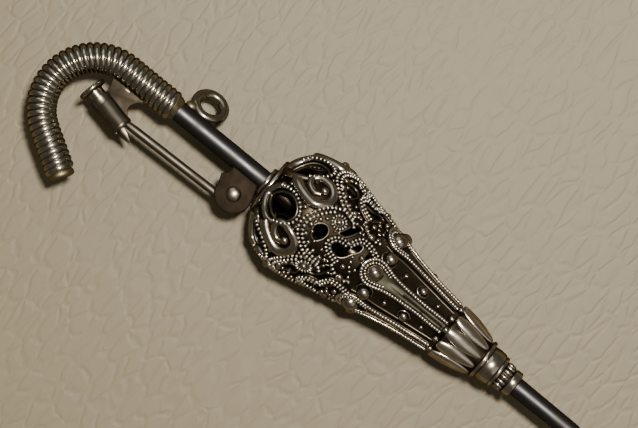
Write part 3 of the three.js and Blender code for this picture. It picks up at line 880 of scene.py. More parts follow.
# %% Beaded wire tree
def beaded_tree():
    tree, given, result = node_tree("beaded wire", [
        ("Bead Radius", "NodeSocketFloat", 0.00017),
        ("Bead Length", "NodeSocketFloat", 0.9),
        ("Pitch", "NodeSocketFloat", 0.00033),
        ("Metal", "NodeSocketMaterial", None),
    ])
    steps = add(tree, "GeometryNodeResampleCurve", {
        "Curve": given.outputs["Geometry"], "Length": given.outputs["Pitch"]}, mode="LENGTH")
    ball = add(tree, "GeometryNodeMeshUVSphere", {
        "Segments": 8, "Rings": 5, "Radius": given.outputs["Bead Radius"]})
    tangent = add(tree, "GeometryNodeInputTangent")
    aim = add(tree, "FunctionNodeAlignRotationToVector", {"Vector": tangent.outputs[0]}, axis="Z")
    squeeze = add(tree, "ShaderNodeCombineXYZ", {"X": 1.0, "Y": 1.0, "Z": given.outputs["Bead Length"]})
    beads = add(tree, "GeometryNodeInstanceOnPoints", {
        "Points": steps.outputs[0], "Instance": ball.outputs["Mesh"],
        "Rotation": aim.outputs[0], "Scale": squeeze.outputs[0]})
    smooth = add(tree, "GeometryNodeSetShadeSmooth", {"Geometry": beads.outputs[0]})
    real = add(tree, "GeometryNodeRealizeInstances", {"Geometry": smooth.outputs[0]})
    coat = add(tree, "GeometryNodeSetMaterial", {
        "Geometry": real.outputs[0], "Material": given.outputs["Metal"]})
    tree.links.new(coat.outputs[0], result.inputs[0])
    return tree


def wire_tree():
    tree, given, result = node_tree("plain wire", [
        ("Wire Radius", "NodeSocketFloat", 0.0001),
        ("Metal", "NodeSocketMaterial", None),
    ])
    section = add(tree, "GeometryNodeCurvePrimitiveCircle", {
        "Resolution": 10, "Radius": given.outputs["Wire Radius"]})
    wire = add(tree, "GeometryNodeCurveToMesh", {
        "Curve": given.outputs["Geometry"], "Profile Curve": section.outputs["Curve"], "Fill Caps": True})
    smooth = add(tree, "GeometryNodeSetShadeSmooth", {"Geometry": wire.outputs["Mesh"]})
    real = add(tree, "GeometryNodeRealizeInstances", {"Geometry": smooth.outputs[0]})
    coat = add(tree, "GeometryNodeSetMaterial", {
        "Geometry": real.outputs[0], "Material": given.outputs["Metal"]})
    tree.links.new(coat.outputs[0], result.inputs[0])
    return tree


beaded_wire = beaded_tree()
plain_wire = wire_tree()
print("trees", beaded_wire.name, "and", plain_wire.name)

# %% [markdown]
# `beading` wraps flat lines on every sector, grows beads and a core on them and joins both, and
# `plain_wires` does the same with smooth wire. A smooth wire under each row carries the beads, so
# they stand clear of the ground.

# %% Beading and wires on the canopy
bead_radius = 0.215
bead_pitch = 0.42
bead_length = 0.7
bead_lift = -0.2


def beading(name, lines, radius=bead_radius, pitch=bead_pitch, lift=bead_lift, length=bead_length, core=0.1,
            core_metal=ground):
    """Beads on their core along flat lines, on every sector."""
    paths = [wrapped(line, lift, sector) for sector in range(sectors) for line in lines]
    beads = grow(name + " beads", path_object(name, paths), beaded_wire, {
        "Bead Radius": radius * MM, "Bead Length": length, "Pitch": pitch * MM, "Metal": beaded,
    })
    wire = grow(name + " core", path_object(name, paths), plain_wire, {
        "Wire Radius": core * MM, "Metal": core_metal,
    })
    rope = join(name, [beads, wire])
    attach(rope, "root")
    return rope


def plain_wires(name, lines, radius, lift, material=polished, which=range(sectors), cyclic=False):
    """Plain round wire along flat lines, on every sector."""
    paths = [wrapped(line, lift, sector) for sector in which for line in lines]
    wire = grow(name, path_object(name, paths, cyclic), plain_wire, {
        "Wire Radius": radius * MM, "Metal": material})
    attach(wire, "root")


print("bead", bead_radius, "pitch", bead_pitch)

# %% [markdown]
# The pattern's lines, drawn flat. A C-scroll sweeps over the sector and curls into a rosette, two
# small arches stand over the hairpin's head, and a single row runs round the crown window. The wide
# wires have two rows of beads.

# %% Beaded lines of one sector
def smooth_line(*corners):
    return curve_through(corners, 10)


def offset_line(line, distance):
    """A flat line moved sideways, for the second row of a double wire."""
    moved = []
    for i, (x, w) in enumerate(line):
        x1, w1 = line[max(i - 1, 0)]
        x2, w2 = line[min(i + 1, len(line) - 1)]
        size = math.hypot(x2 - x1, w2 - w1) or 1
        moved.append((x - (w2 - w1) / size * distance, w + (x2 - x1) / size * distance))
    return moved


scroll_line = smooth_line((9.3, 2.6), (8.7, 3.3), (7.7, 3.45), (6.75, 3.05), (6.0, 2.45), (5.35, 1.5),
                          (4.9, 0.5), (4.8, -0.4), (5.2, -1.3), (5.9, -2.0), (6.8, -2.6), (7.7, -2.95),
                          (8.7, -3.05))
scroll_inner = smooth_line((6.85, 2.6), (6.45, 2.2), (5.85, 1.4), (5.4, 0.5), (5.35, -0.35), (5.7, -1.15),
                           (6.25, -1.7), (7.0, -2.15), (7.8, -2.45), (8.7, -2.55))
left_arch = smooth_line((9.95, -1.5), (8.85, -1.1), (8.25, -0.65), (8.1, -0.1), (8.45, 0.6), (9.1, 0.95),
                        (9.8, 0.95))
right_arch = smooth_line((9.95, 0.95), (10.2, 1.6), (10.6, 2.15), (11.2, 2.3), (12.0, 2.15), (12.9, 1.8))
window_rim = smooth_line((1.0, 1.25), (1.7, 1.5), (2.6, 1.5), (3.6, 1.0), (4.2, 0.3), (4.35, -0.45),
                         (4.05, -1.2), (3.4, -1.75), (2.6, -2.1))
corner_row = smooth_line((9.9, -1.9), (10.4, -2.3), (11.0, -2.55), (11.7, -2.6), (12.3, -2.3))

beading("scroll_beading", [scroll_line, scroll_inner])
beading("arch_beading", [
    left_arch, offset_line(left_arch, -0.36), right_arch, offset_line(right_arch, -0.36)],
    radius=0.19, pitch=0.36, lift=bead_lift + 0.06)
beading("crown_beading", [window_rim, corner_row])
edge_lift = ground_lift - 0.05
plain_wires("window_edges", windows, 0.13, edge_lift, findings, cyclic=True)
plain_wires("scroll_wire", [
    scroll_line, scroll_inner, left_arch, right_arch, window_rim, corner_row],
    0.17, bead_lift - 0.22, ground)

# %% [markdown]
# Between two windows sits a volute, a smooth thick wire that thins as it curls in on itself and
# ends in a grain. Plain scroll wire is drawn, annealed and bent with pliers. Here a tapered tube
# follows a smooth flat line, which is wrapped on the canopy like the beading.

# %% Volutes
volute_corners = [(1.75, 2.75), (2.7, 2.3), (3.9, 2.0), (5.0, 2.15), (5.85, 3.0), (5.8, 4.1), (4.95, 4.85),
                  (3.75, 4.9), (2.95, 4.25), (3.1, 3.4), (3.9, 3.0), (4.6, 3.3)]
volute_line = curve_through(volute_corners, 8)
volute_radii = [0.62 - 0.34 * (i / (len(volute_line) - 1)) ** 1.3 for i in range(len(volute_line))]

lobe_line = curve_through([(1.5, 1.55), (0.75, 1.15), (0.3, 0.35), (0.25, -0.6), (0.8, -1.75), (1.7, -2.45),
                           (2.6, -2.4)], 8)
lobe_radii = [0.22 + 0.22 * math.sin(math.pi * i / (len(lobe_line) - 1)) for i in range(len(lobe_line))]
lobes = join("window_lobes", [
    tube("lobe", [skin(x, w, -0.4, sector) for x, w in lobe_line], lobe_radii, polished, 14)
    for sector in range(sectors)])
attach(lobes, "root")

volutes = join("crown_volutes", [
    tube("volute", [skin(x, w, -0.48, sector) for x, w in volute_line], volute_radii, polished, 14)
    for sector in range(sectors)])
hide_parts(*[f"crown_boss_{i}" for i in sector_numbers])
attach(volutes, "root")

# %% [markdown]
# ## Grains and balls
# Grains are tiny balls melted from wire clippings and soldered on. Their places are the vertices of
# a mesh, and each vertex carries its own size. A Geometry Nodes tree reads the sizes and puts a
# ball on every vertex.

# %% Grain tree
def grain_tree(segments, rings):
    tree, given, result = node_tree(f"grains {segments}", [("Metal", "NodeSocketMaterial", None)])
    ball = add(tree, "GeometryNodeMeshUVSphere", {"Segments": segments, "Rings": rings, "Radius": 1.0})
    size = add(tree, "GeometryNodeInputNamedAttribute", {"Name": "size"}, data_type="FLOAT")
    grains = add(tree, "GeometryNodeInstanceOnPoints", {
        "Points": given.outputs["Geometry"], "Instance": ball.outputs["Mesh"], "Scale": size.outputs[0]})
    smooth = add(tree, "GeometryNodeSetShadeSmooth", {"Geometry": grains.outputs[0]})
    real = add(tree, "GeometryNodeRealizeInstances", {"Geometry": smooth.outputs[0]})
    coat = add(tree, "GeometryNodeSetMaterial", {
        "Geometry": real.outputs[0], "Material": given.outputs["Metal"]})
    tree.links.new(coat.outputs[0], result.inputs[0])
    return tree


def grains(name, spots, material, segments=12, rings=7, which=range(sectors), lift=ground_lift):
    """Balls at flat spots (x, w, radius) on every sector, each sunk a little into the ground."""
    mesh = bpy.data.meshes.new(name + " places")
    places = [(skin(x, w, lift + radius * 0.75, sector), radius)
              for sector in which for x, w, radius in spots]
    mesh.from_pydata([tuple(p) for p, _ in places], [], [])
    sizes = mesh.attributes.new("size", "FLOAT", "POINT")
    sizes.data.foreach_set("value", [radius * MM for _, radius in places])
    holder = bpy.data.objects.new(name + " places", mesh)
    bpy.context.scene.collection.objects.link(holder)
    balls = grow(name, holder, grain_tree(segments, rings), {"Metal": material})
    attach(balls, "root")


print("grain maker: grains")

# %% [markdown]
# Grains fill the hollows of the scrolls, stand where wires meet and run in short rows beside the
# beading. Larger ones fill the volutes and the rosettes. A list of places and sizes for one sector
# serves for all six.

# %% Grains of the scrolls and the crown
grains("scroll_grains", [
    (7.9, 2.1, 0.36), (5.85, 0.15, 0.34), (6.0, -0.95, 0.3), (6.75, -1.55, 0.27), (7.65, -2.0, 0.27),
    (8.55, -2.15, 0.3), (9.4, -1.95, 0.22), (6.3, 1.15, 0.26), (6.75, 1.65, 0.24), (6.05, 0.65, 0.22),
    (6.4, -0.4, 0.22), (7.15, -1.1, 0.2), (4.35, 1.6, 0.24), (4.65, 2.05, 0.2), (9.1, 4.0, 0.25),
    (7.2, 3.95, 0.24), (10.9, -1.35, 0.33), (11.25, -0.45, 0.25), (11.85, 0.6, 0.33), (11.45, -1.0, 0.22),
    (11.75, -1.4, 0.22), (11.3, 3.0, 0.42), (12.0, -2.0, 0.24), (12.4, 1.95, 0.22),
    (4.75, -1.1, 0.2), (4.6, -1.6, 0.17), (5.2, -2.2, 0.2), (5.9, -2.75, 0.22), (6.7, -3.3, 0.2),
    (8.3, -1.35, 0.2), (8.9, -1.6, 0.17), (9.9, -1.35, 0.17), (8.15, 1.1, 0.17), (10.55, 2.75, 0.2),
    (9.95, 3.75, 0.2), (11.1, 0.1, 0.17), (12.1, -0.9, 0.2), (12.15, 0.2, 0.17), (9.4, -2.7, 0.22),
    (10.2, -3.1, 0.2), (11.2, -3.15, 0.2),
], ball_metal)
grains("crown_grains", [
    (4.75, 3.75, 0.46), (0.95, 1.35, 0.34), (1.5, 2.05, 0.24), (0.45, -1.0, 0.26), (4.15, 1.15, 0.26),
    (3.75, 1.5, 0.22), (3.2, 1.75, 0.2),
], ball_metal, 16, 9)

# %% [markdown]
# The rosette at the end of each C-scroll is a grain in a ring of short radial bars. The beaded wire
# tree makes it too: beads squeezed hard along a small circle become bars.

# %% Rosettes
def flat_circle(x, w, radius, count=48):
    turns_round = [2 * math.pi * i / count for i in range(count + 1)]
    return [(x + radius * math.cos(a), w + radius * math.sin(a)) for a in turns_round]


rosette_x, rosette_w = 7.9, 2.1
beading("rosette_bars", [flat_circle(rosette_x, rosette_w, 0.72)], radius=0.22, pitch=0.3,
        lift=ground_lift + 0.3, length=0.45)
plain_wires("rosette_rims", [flat_circle(rosette_x, rosette_w, 0.42)], 0.12, ground_lift + 0.2)

# %% [markdown]
# ## Hairpins and leaves
# Six hairpins of milled wire stand on the lower canopy, round at the head and narrow at the tip. A
# second row follows the head, a large ball fills it, and a smooth hollow leaf with a centre rib
# lies between the legs.

# %% Hairpin lines
head_x, head_w = 13.75, 0.25
head_radius = 1.42
leg_widths = [(14.4, 1.28), (15.2, 1.02), (16.2, 0.82), (17.6, 0.7), (19.5, 0.6), (21.2, 0.62), (22.35, 0.6)]
leg_x, leg_half = zip(*leg_widths)


def hairpin_line(inset=0.0, last=len(leg_widths)):
    """The hairpin's outline from one leg's end round the head to the other's."""
    legs = leg_widths[:last]
    left = [(x, head_w - half + inset) for x, half in reversed(legs)]
    right = [(x, head_w + half - inset) for x, half in legs]
    radius = head_radius - inset
    arc = [(head_x - radius * math.sin(a), head_w - radius * math.cos(a))
           for a in np.linspace(0.05, math.pi - 0.05, 7)]
    return curve_through(left + arc + right, 8)


hairpin_wire = beading("hairpin_beading", [hairpin_line()], radius=0.19, pitch=0.31, lift=bead_lift + 0.04,
                       length=0.9, core=0.16, core_metal=polished)
beading("hairpin_inner_beading", [hairpin_line(0.38, 2)], radius=0.17, pitch=0.3, length=0.8)
plain_wires("hairpin_wire", [hairpin_line()], 0.17, bead_lift - 0.2, ground)
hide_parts(*[f"hairpin_{i}" for i in sector_numbers])


def leaf_half(x):
    return float(np.interp(x, leg_x, leg_half)) - 0.12


leaf_start, leaf_end = 13.4, 22.6
leaf_x = list(np.linspace(leaf_start, leaf_end, 24))
leaf_outline = ([(x, head_w - leaf_half(x)) for x in leaf_x]
                + [(x, head_w + leaf_half(x)) for x in reversed(leaf_x)])


def leaf_lift(x, w):
    """Hollow across, with a rib in the middle that fades in from the head."""
    across = (w - head_w) / leaf_half(x)
    rib = 0.22 * math.exp(-((across / 0.28) ** 2)) * min(1, max(0, (x - 15.5) / 2))
    return -0.62 + 0.22 * across**2 + rib


leaves = thick_sheet("hairpin_leaves", leaf_outline, [], leaf_lift, 0.28, leaf_metal, spacing=0.2)
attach(leaves, "root")
grains("head_balls", [(13.75, head_w, 0.92)], ball_metal, 24, 14, lift=-1.05)
grains("tip_balls", [(22.8, head_w - 0.05, 0.36)], ball_metal, 16, 9, lift=-0.6)

# %% [markdown]
# ## Valleys
# Between the hairpins the ground lies deep and dark. Each valley carries a row of balls that grow
# smaller towards the ferrule. A fractional sector number puts a drawing half way between two
# sectors.

# %% Valley ground and balls
valley_start, valley_stop = 11.9, canopy_end - 0.05
valleys_between = [i + 0.5 for i in range(sectors)]


def valley_half(x):
    return math.pi / sectors * skin_radius(x) - float(np.interp(x, leg_x, leg_half)) + 0.22


valley_x = list(np.linspace(valley_start, valley_stop, 26))
valley_outline = ([(x, -valley_half(x) + head_w) for x in valley_x]
                  + [(x, valley_half(x) + head_w) for x in reversed(valley_x)])


def valley_lift(x, w):
    across = (w - head_w) / valley_half(x)
    return -0.98 + 0.3 * across**2


valley_ground = thick_sheet("valley_ground", valley_outline, [], valley_lift, 0.28, valley_metal,
                            which=valleys_between, spacing=0.3)
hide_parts(*[f"valley_{i}" for i in sector_numbers])
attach(valley_ground, "root")
grains("valley_balls", [
    (14.2, 0.1, 0.74), (16.5, 0.15, 0.3), (18.75, 0.15, 0.52), (20.8, 0.15, 0.27), (22.65, 0.1, 0.4),
], ball_metal, 20, 12, which=valleys_between, lift=-0.98)
plain_wires("ball_collars", [flat_circle(14.2, 0.1, 0.84), flat_circle(18.75, 0.15, 0.6)], 0.1, -0.8,
            which=valleys_between)
valley_sides = [[(x, head_w + side * (valley_half(x) - 0.46)) for x in np.linspace(13.1, 22.5, 20)]
                for side in (-1, 1)]
plain_wires("valley_wires", valley_sides, 0.12, -0.78, findings, which=valleys_between)

# %% [markdown]
# ## Collar and ferrule
# The canopy is closed by a small collar on the shaft and, at the other end, by a cup of overlapping
# petals. One petal is modelled about the X axis, and a Geometry Nodes tree turns copies of it round
# the shaft.

# %% Ring of copies tree
def ring_tree():
    tree, given, result = node_tree("ring of copies", [
        ("Count", "NodeSocketInt", 12),
        ("Axis Point", "NodeSocketVector", None),
        ("Metal", "NodeSocketMaterial", None),
    ])
    points = add(tree, "GeometryNodePoints", {"Count": given.outputs["Count"]})
    index = add(tree, "GeometryNodeInputIndex")
    full = add(tree, "ShaderNodeMath", {0: index.outputs[0], 1: 2 * math.pi}, operation="MULTIPLY")
    angle = add(tree, "ShaderNodeMath", {0: full.outputs[0], 1: given.outputs["Count"]}, operation="DIVIDE")
    euler = add(tree, "ShaderNodeCombineXYZ", {"X": angle.outputs[0]})
    turn_by = add(tree, "FunctionNodeEulerToRotation", {0: euler.outputs[0]})
    copies = add(tree, "GeometryNodeInstanceOnPoints", {
        "Points": points.outputs[0], "Instance": given.outputs["Geometry"], "Rotation": turn_by.outputs[0]})
    real = add(tree, "GeometryNodeRealizeInstances", {"Geometry": copies.outputs[0]})
    placed = add(tree, "GeometryNodeTransform", {
        "Geometry": real.outputs[0], "Translation": given.outputs["Axis Point"]})
    coat = add(tree, "GeometryNodeSetMaterial", {
        "Geometry": placed.outputs[0], "Material": given.outputs["Metal"]})
    tree.links.new(coat.outputs[0], result.inputs[0])
    return tree


ring_of_copies = ring_tree()
axis_point = on_shaft(0)
print("tree", ring_of_copies.name)

# %% [markdown]
# A petal and a bead are the same form, a closed pod that follows a profile along the shaft and
# bulges outwards. The petal is long and pointed at its tip, the bead short and round.

# %% One pod and a ring of pods
def pod(name, centre_line_r, half_angle, rise, start, stop, steps=20, across=10, sharp=0.5):
    """One petal: a closed pod that follows a profile and bulges, with its widest part past the middle."""
    vertices, faces = [], []
    count = 2 * across
    for i in range(steps + 1):
        s = i / steps
        x = start + (stop - start) * s
        fat = max(0.02, math.sin(math.pi * min(1, s * 0.94 + 0.06)) ** sharp)
        for k in range(count):
            turn_k = 2 * math.pi * k / count
            angle = half_angle * fat * math.cos(turn_k)
            lift = rise * fat * math.sin(turn_k) * (1 if math.sin(turn_k) > 0 else 0.5)
            radius = centre_line_r(x) + lift
            vertices.append(Vector((x, radius * math.sin(angle), radius * math.cos(angle))) * MM)
    for i in range(steps):
        for k in range(count):
            a, b = i * count + k, i * count + (k + 1) % count
            faces.append((a, b, b + count, a + count))
    faces.append(tuple(range(count)))
    faces.append(tuple(range(len(vertices) - count, len(vertices))))
    return piece(name, vertices, faces, polished)


def ring_of(name, source, count, material):
    ring = grow(name, source, ring_of_copies, {"Count": count, "Axis Point": axis_point, "Metal": material})
    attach(ring, "root")


print("pod makers: pod and ring_of")

# %% [markdown]
# The ferrule's parts follow each other along the shaft. Their ends and radii come from the frame's
# boxes. The cup is a plain turned core with eleven petals round it, which leaves the gaps between
# the petals dark.

# %% Cup and petals
def span(node):
    """Start, end and outer radius of a round node on the shaft."""
    low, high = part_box(node)
    return station(low.x), station(high.x), (high.z - low.z) / 2 / MM


cup_start, cup_stop, cup_radius = span("ferrule_cup")
upper_radius = span("ferrule_ring_upper")[2]
band_start, band_stop, band_radius = span("ferrule_band")
collar_start, collar_stop, collar_radius = span("ferrule_bead_collar")


def cup_profile(x):
    s = max(0, (x - cup_start) / (cup_stop - cup_start))
    return cup_radius - 0.22 - (cup_radius - upper_radius - 0.05) * s


def ring_profile(start, stop, radius, bore, edge=0.12):
    """A ring with softly rounded outer edges."""
    chamfer = edge * 0.3
    return [
        (start, bore), (start, radius - edge), (start + chamfer, radius - chamfer), (start + edge, radius),
        (stop - edge, radius), (stop - chamfer, radius - chamfer), (stop, radius - edge), (stop, bore),
    ]


bore = rod_radius + 0.02
cup_wall = [(x, cup_profile(x) - 0.1) for x in np.linspace(cup_start - 0.1, cup_stop, 16)]
cup_core = turned("ferrule_cup_core", [(cup_start - 0.1, bore)] + cup_wall + [(cup_stop, bore)], ground)
petal_count = 11
petal = pod("petal", cup_profile, math.radians(17.2), 0.38, cup_start - 0.15, cup_stop)
ring_of("ferrule_petals", petal, petal_count, petal_metal_painted_sheen)
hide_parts("ferrule_cup")
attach(cup_core, "root")

# %% [markdown]
# Below the cup come two rings, a smooth swelling band between them, a collar of beads and the end
# ring. At the other end a neck ring and a rolled edge close the crown. All of them are turned about
# the shaft. The collar's beads are short pods, set round it by the same tree as the petals.

# %% Rings, band and neck
for node in ("ferrule_ring_upper", "ferrule_ring_lower", "ferrule_end_ring"):
    ring = turned(node + "_turned", ring_profile(*span(node), bore, 0.16), polished)
    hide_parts(node)
    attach(ring, "root")
band = turned("ferrule_band_turned", [
    (band_start, bore), (band_start, band_radius * 0.93), (band_start + 0.1, band_radius * 0.97),
    ((band_start + band_stop) / 2, band_radius), (band_stop - 0.1, band_radius * 0.97),
    (band_stop, band_radius * 0.93), (band_stop, bore)], polished)
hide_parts("ferrule_band")
collar_core = turned("ferrule_collar_core",
                     ring_profile(collar_start, collar_stop, collar_radius - 0.2, bore), ground)
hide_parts("ferrule_bead_collar")
collar_bead_count = 14
collar_bead = pod("collar bead", lambda x: collar_radius - 0.3, math.radians(12), 0.3, collar_start,
                  collar_stop, 10, 6)
ring_of("ferrule_collar_beads", collar_bead, collar_bead_count, polished)
for part in (band, collar_core):
    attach(part, "root")

neck_start, neck_stop, neck_radius = span("canopy_collar")
neck = turned("canopy_neck", ring_profile(neck_start, neck_stop, neck_radius, bore, 0.18), polished)
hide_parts("canopy_collar")
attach(neck, "root")
crown_rim = turned("crown_edge", [
    (0.2 + 0.3 * math.sin(a), skin_radius(0.2) - 0.35 + 0.3 * math.cos(a))
    for a in np.linspace(0, 2 * math.pi, 14, endpoint=False)], polished, 64)
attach(crown_rim, "root")

# %% [markdown]
# ## Chain ring
# A plain wire ring stands at a slant beside the winding's end, for a safety chain. The frame's box
# gives everything: its length is the ring's diameter, and its width and height give the slant.

# %% Chain ring
ring_low, ring_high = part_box("chain_ring")
ring_middle = (ring_low + ring_high) / 2
ring_wire = 0.5
ring_radius = (ring_high.x - ring_low.x) / 2 / MM - ring_wire
ring_slant = math.acos(((ring_high.y - ring_low.y) / 2 / MM - ring_wire) / ring_radius)
ring_normal = Vector((0, math.sin(ring_slant), math.cos(ring_slant)))


def torus_profile(radius, wire, count=18):
    return [(wire * math.sin(2 * math.pi * i / count), radius + wire * math.cos(2 * math.pi * i / count))
            for i in range(count)]


chain_ring = turned("chain_ring_wire", torus_profile(ring_radius, ring_wire), worn_and_highlit_findings, 56,
                    lathe_at(ring_middle, ring_normal))
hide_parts("chain_ring")
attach(chain_ring, "root")


def solder_blob(name, node, shrink, wobble):
    """A smooth lump of solder that fills a node's box."""
    low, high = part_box(node)
    middle, half = (low + high) / 2, (high - low) / 2 * shrink
    shaped = bmesh.new()
    bmesh.ops.create_icosphere(shaped, subdivisions=4, radius=1)
    for vertex in shaped.verts:
        x, y, z = vertex.co
        wave = 1 - 0.06 * (1 + math.sin(3.1 * x + 2.3 * y + wobble) * math.cos(2.7 * z - wobble))
        vertex.co = middle + Vector((x * half.x, y * half.y, z * half.z)) * wave
    for face in shaped.faces:
        face.smooth = True
    mesh = bpy.data.meshes.new(name)
    shaped.to_mesh(mesh)
    shaped.free()
    mesh.materials.append(brass)
    blob = bpy.data.objects.new(name, mesh)
    bpy.context.scene.collection.objects.link(blob)
    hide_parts(node)
    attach(blob, "root")


solder_blob("ring_joint_solder", "ring_solder", 0.95, 1)
print("chain ring radius", round(ring_radius, 2), "slant", round(math.degrees(ring_slant), 1))

# %% [markdown]
# ## Catch
# The pin's point closes into a rolled tube with a slot along its outer side, and a sleeve slides in
# the tube to lock it. All of the catch is laid out along the slide joint's axis, from the rim of
# the sleeve, so that the pieces fit each other whatever way the catch leans.

# %% Catch axis
slide = next(j for j in frame["joints"] if j["name"] == "sleeve_slide")
catch_way = Vector(slide["axis"]).normalized()
catch_up = Vector((0, 0, 1)).cross(catch_way)
sleeve_low, sleeve_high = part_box("catch_sleeve")
rim_radius = (sleeve_high.z - sleeve_low.z) / 2 / MM
rim_centre = Vector((
    sleeve_low.x + rim_radius * MM * abs(catch_way.y),
    sleeve_high.y - rim_radius * MM * catch_way.x,
    (sleeve_low.z + sleeve_high.z) / 2,
))


def in_catch(along, up=0.0, out=0.0):
    """A point in metres from millimetres along the catch, towards the shaft and towards +Z."""
    return rim_centre + (catch_way * along + catch_up * up + Vector((0, 0, out))) * MM


print("catch leans", round(math.degrees(math.atan2(catch_way.y, catch_way.x)), 1), "degrees")

# %% [markdown]
# The sleeve is the part that the finger pushes. Its mouth is flared like a bell and curled over
# into a thick rim. It is turned about the catch's axis and rides on its own body, so it slides when
# the joint moves.

# %% Sliding sleeve
sleeve_radius, sleeve_bore, sleeve_length = 0.89, 0.62, 2.85
rim_curl = [(0.26 + 0.26 * math.sin(a), rim_radius - 0.26 + 0.26 * math.cos(a))
            for a in np.linspace(-math.pi * 0.75, math.pi * 0.55, 14)]
sleeve = turned("catch_sleeve_bell", rim_curl + [
    (0.56, sleeve_radius + 0.16), (0.58, sleeve_radius), (sleeve_length - 0.04, sleeve_radius),
    (sleeve_length, sleeve_radius - 0.05), (sleeve_length, sleeve_bore), (0.7, sleeve_bore),
    (0.4, sleeve_bore + 0.1), (0.2, sleeve_bore + 0.24),
], worn_and_highlit_findings, 56, in_catch)
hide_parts("catch_sleeve")
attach(sleeve, "catch_sleeve")
print("sleeve", len(sleeve.data.polygons), "faces")

# %% [markdown]
# Sheet parts need two more makers. `slab` gives an outline a thickness and a small bevel, as filed
# edges have, and `carved` cuts one closed mesh with another and keeps the result.

# %% Cut and flat pieces
def carved(obj, cutter):
    """Cuts one object with another, applies the result and removes the cutter."""
    modifier = obj.modifiers.new("cut", "BOOLEAN")
    modifier.operation = "DIFFERENCE"
    modifier.object = cutter
    modifier.solver = "EXACT"
    bpy.context.view_layer.update()
    mesh = bpy.data.meshes.new_from_object(obj.evaluated_get(bpy.context.evaluated_depsgraph_get()))
    obj.modifiers.remove(modifier)
    obj.data = mesh
    bpy.data.objects.remove(cutter)
    return soft_edges(obj)


def slab(name, corners, low, high, material, to_point, bevel=0.0):
    """An outline in two directions, given a thickness in the third, with its edges rounded."""
    count = len(corners)
    vertices = [to_point(a, b, low) for a, b in corners] + [to_point(a, b, high) for a, b in corners]
    faces = [tuple(range(count)), tuple(range(count, 2 * count))]
    faces += [(i, (i + 1) % count, count + (i + 1) % count, count + i) for i in range(count)]
    obj = piece(name, vertices, faces, material)
    if bevel:
        modifier = obj.modifiers.new("bevel", "BEVEL")
        modifier.width = bevel * MM
        modifier.segments = 3
        modifier.limit_method = "ANGLE"
        modifier.angle_limit = math.radians(40)
        bpy.context.view_layer.update()
        mesh = bpy.data.meshes.new_from_object(obj.evaluated_get(bpy.context.evaluated_depsgraph_get()))
        obj.modifiers.remove(modifier)
        obj.data = mesh
    return soft_edges(obj, 30)


print("makers: carved and slab")

# %% [markdown]
# The tube is rolled from sheet, with a groove behind its mouth and a raised band near its end. The
# slot that lets the pin in is cut out of the turned tube. It is open at the end, so the cutter runs
# past it.

# %% Catch tube
tube_outer, tube_bore = 1.1, 0.93
tube_start, tube_end = 1.31, 5.18
slot_start, slot_half = 2.7, 0.49
tube_edge = 0.05
catch_tube = turned("catch_tube", [
    (tube_start, tube_bore), (tube_start, tube_outer - tube_edge), (tube_start + tube_edge, tube_outer),
    (tube_start + 0.75, tube_outer), (tube_start + 0.8, tube_outer - 0.03), (tube_start + 0.85, tube_outer),
    (tube_end - 0.45, tube_outer), (tube_end - 0.36, tube_outer + 0.05),
    (tube_end - 0.22, tube_outer + 0.05), (tube_end - 0.1, tube_outer),
    (tube_end, tube_outer - tube_edge), (tube_end, tube_bore),
], findings, 64, in_catch)
slot_cutter = slab("slot", [(slot_start, -2), (tube_end + 1, -2), (tube_end + 1, 0), (slot_start, 0)],
                   -slot_half, slot_half, findings, in_catch)
catch_tube = carved(catch_tube, slot_cutter)
print("catch tube", len(catch_tube.data.polygons), "faces")

# %% [markdown]
# The tube's lower wall runs on past its end as a pointed lip, which guides the pin into the slot.
# It is a grid of points on the tube's own cylinder that narrows to a tip, with an inner layer one
# wall below.

# %% Lip
lip_length, lip_half = 1.6, 0.55
lip_turn = math.radians(25)
lip_rows, lip_steps = 14, 10


def lip_point(along, around, depth):
    """A point on the rolled lip, which continues the tube's lower wall to a point."""
    angle = lip_turn + around / tube_outer
    radius = tube_outer - depth
    return in_catch(along, -radius * math.sin(angle), -radius * math.cos(angle))


lip_grid = []
for row in range(lip_rows + 1):
    share = row / lip_rows
    along = tube_end - 0.1 + (lip_length + 0.05) * share
    half = lip_half * (1 - share) ** 0.8 + 0.03
    lip_grid.append([(along, half * (2 * i / lip_steps - 1)) for i in range(lip_steps + 1)])
lip_vertices = [lip_point(along, around, depth) for depth in (0, tube_outer - tube_bore)
                for row in lip_grid for along, around in row]
width = lip_steps + 1
layer = width * (lip_rows + 1)
lip_faces = []
for row in range(lip_rows):
    for i in range(lip_steps):
        a = row * width + i
        lip_faces += [(a, a + 1, a + 1 + width, a + width),
                      (a + layer, a + width + layer, a + 1 + width + layer, a + 1 + layer)]
    for a in (row * width, row * width + lip_steps):
        lip_faces.append((a, a + width, a + width + layer, a + layer))
for first in (0, lip_rows * width):
    for a in range(first, first + lip_steps):
        lip_faces.append((a, a + 1, a + 1 + layer, a + layer))
lip = soft_edges(piece("catch_lip", lip_vertices, lip_faces, findings))
print("lip", len(lip_faces), "faces")

# %% [markdown]
# The flap is a piece of thick sheet. It stands on the tube, its front edge is hollow, and its top
# edge is soldered along the inside of the crook.

# %% Catch flap and solder
def catch_local(point):
    """Millimetres along the catch and towards the shaft for a point in metres."""
    away = point - rim_centre
    return away.dot(catch_way) / MM, away.dot(catch_up) / MM


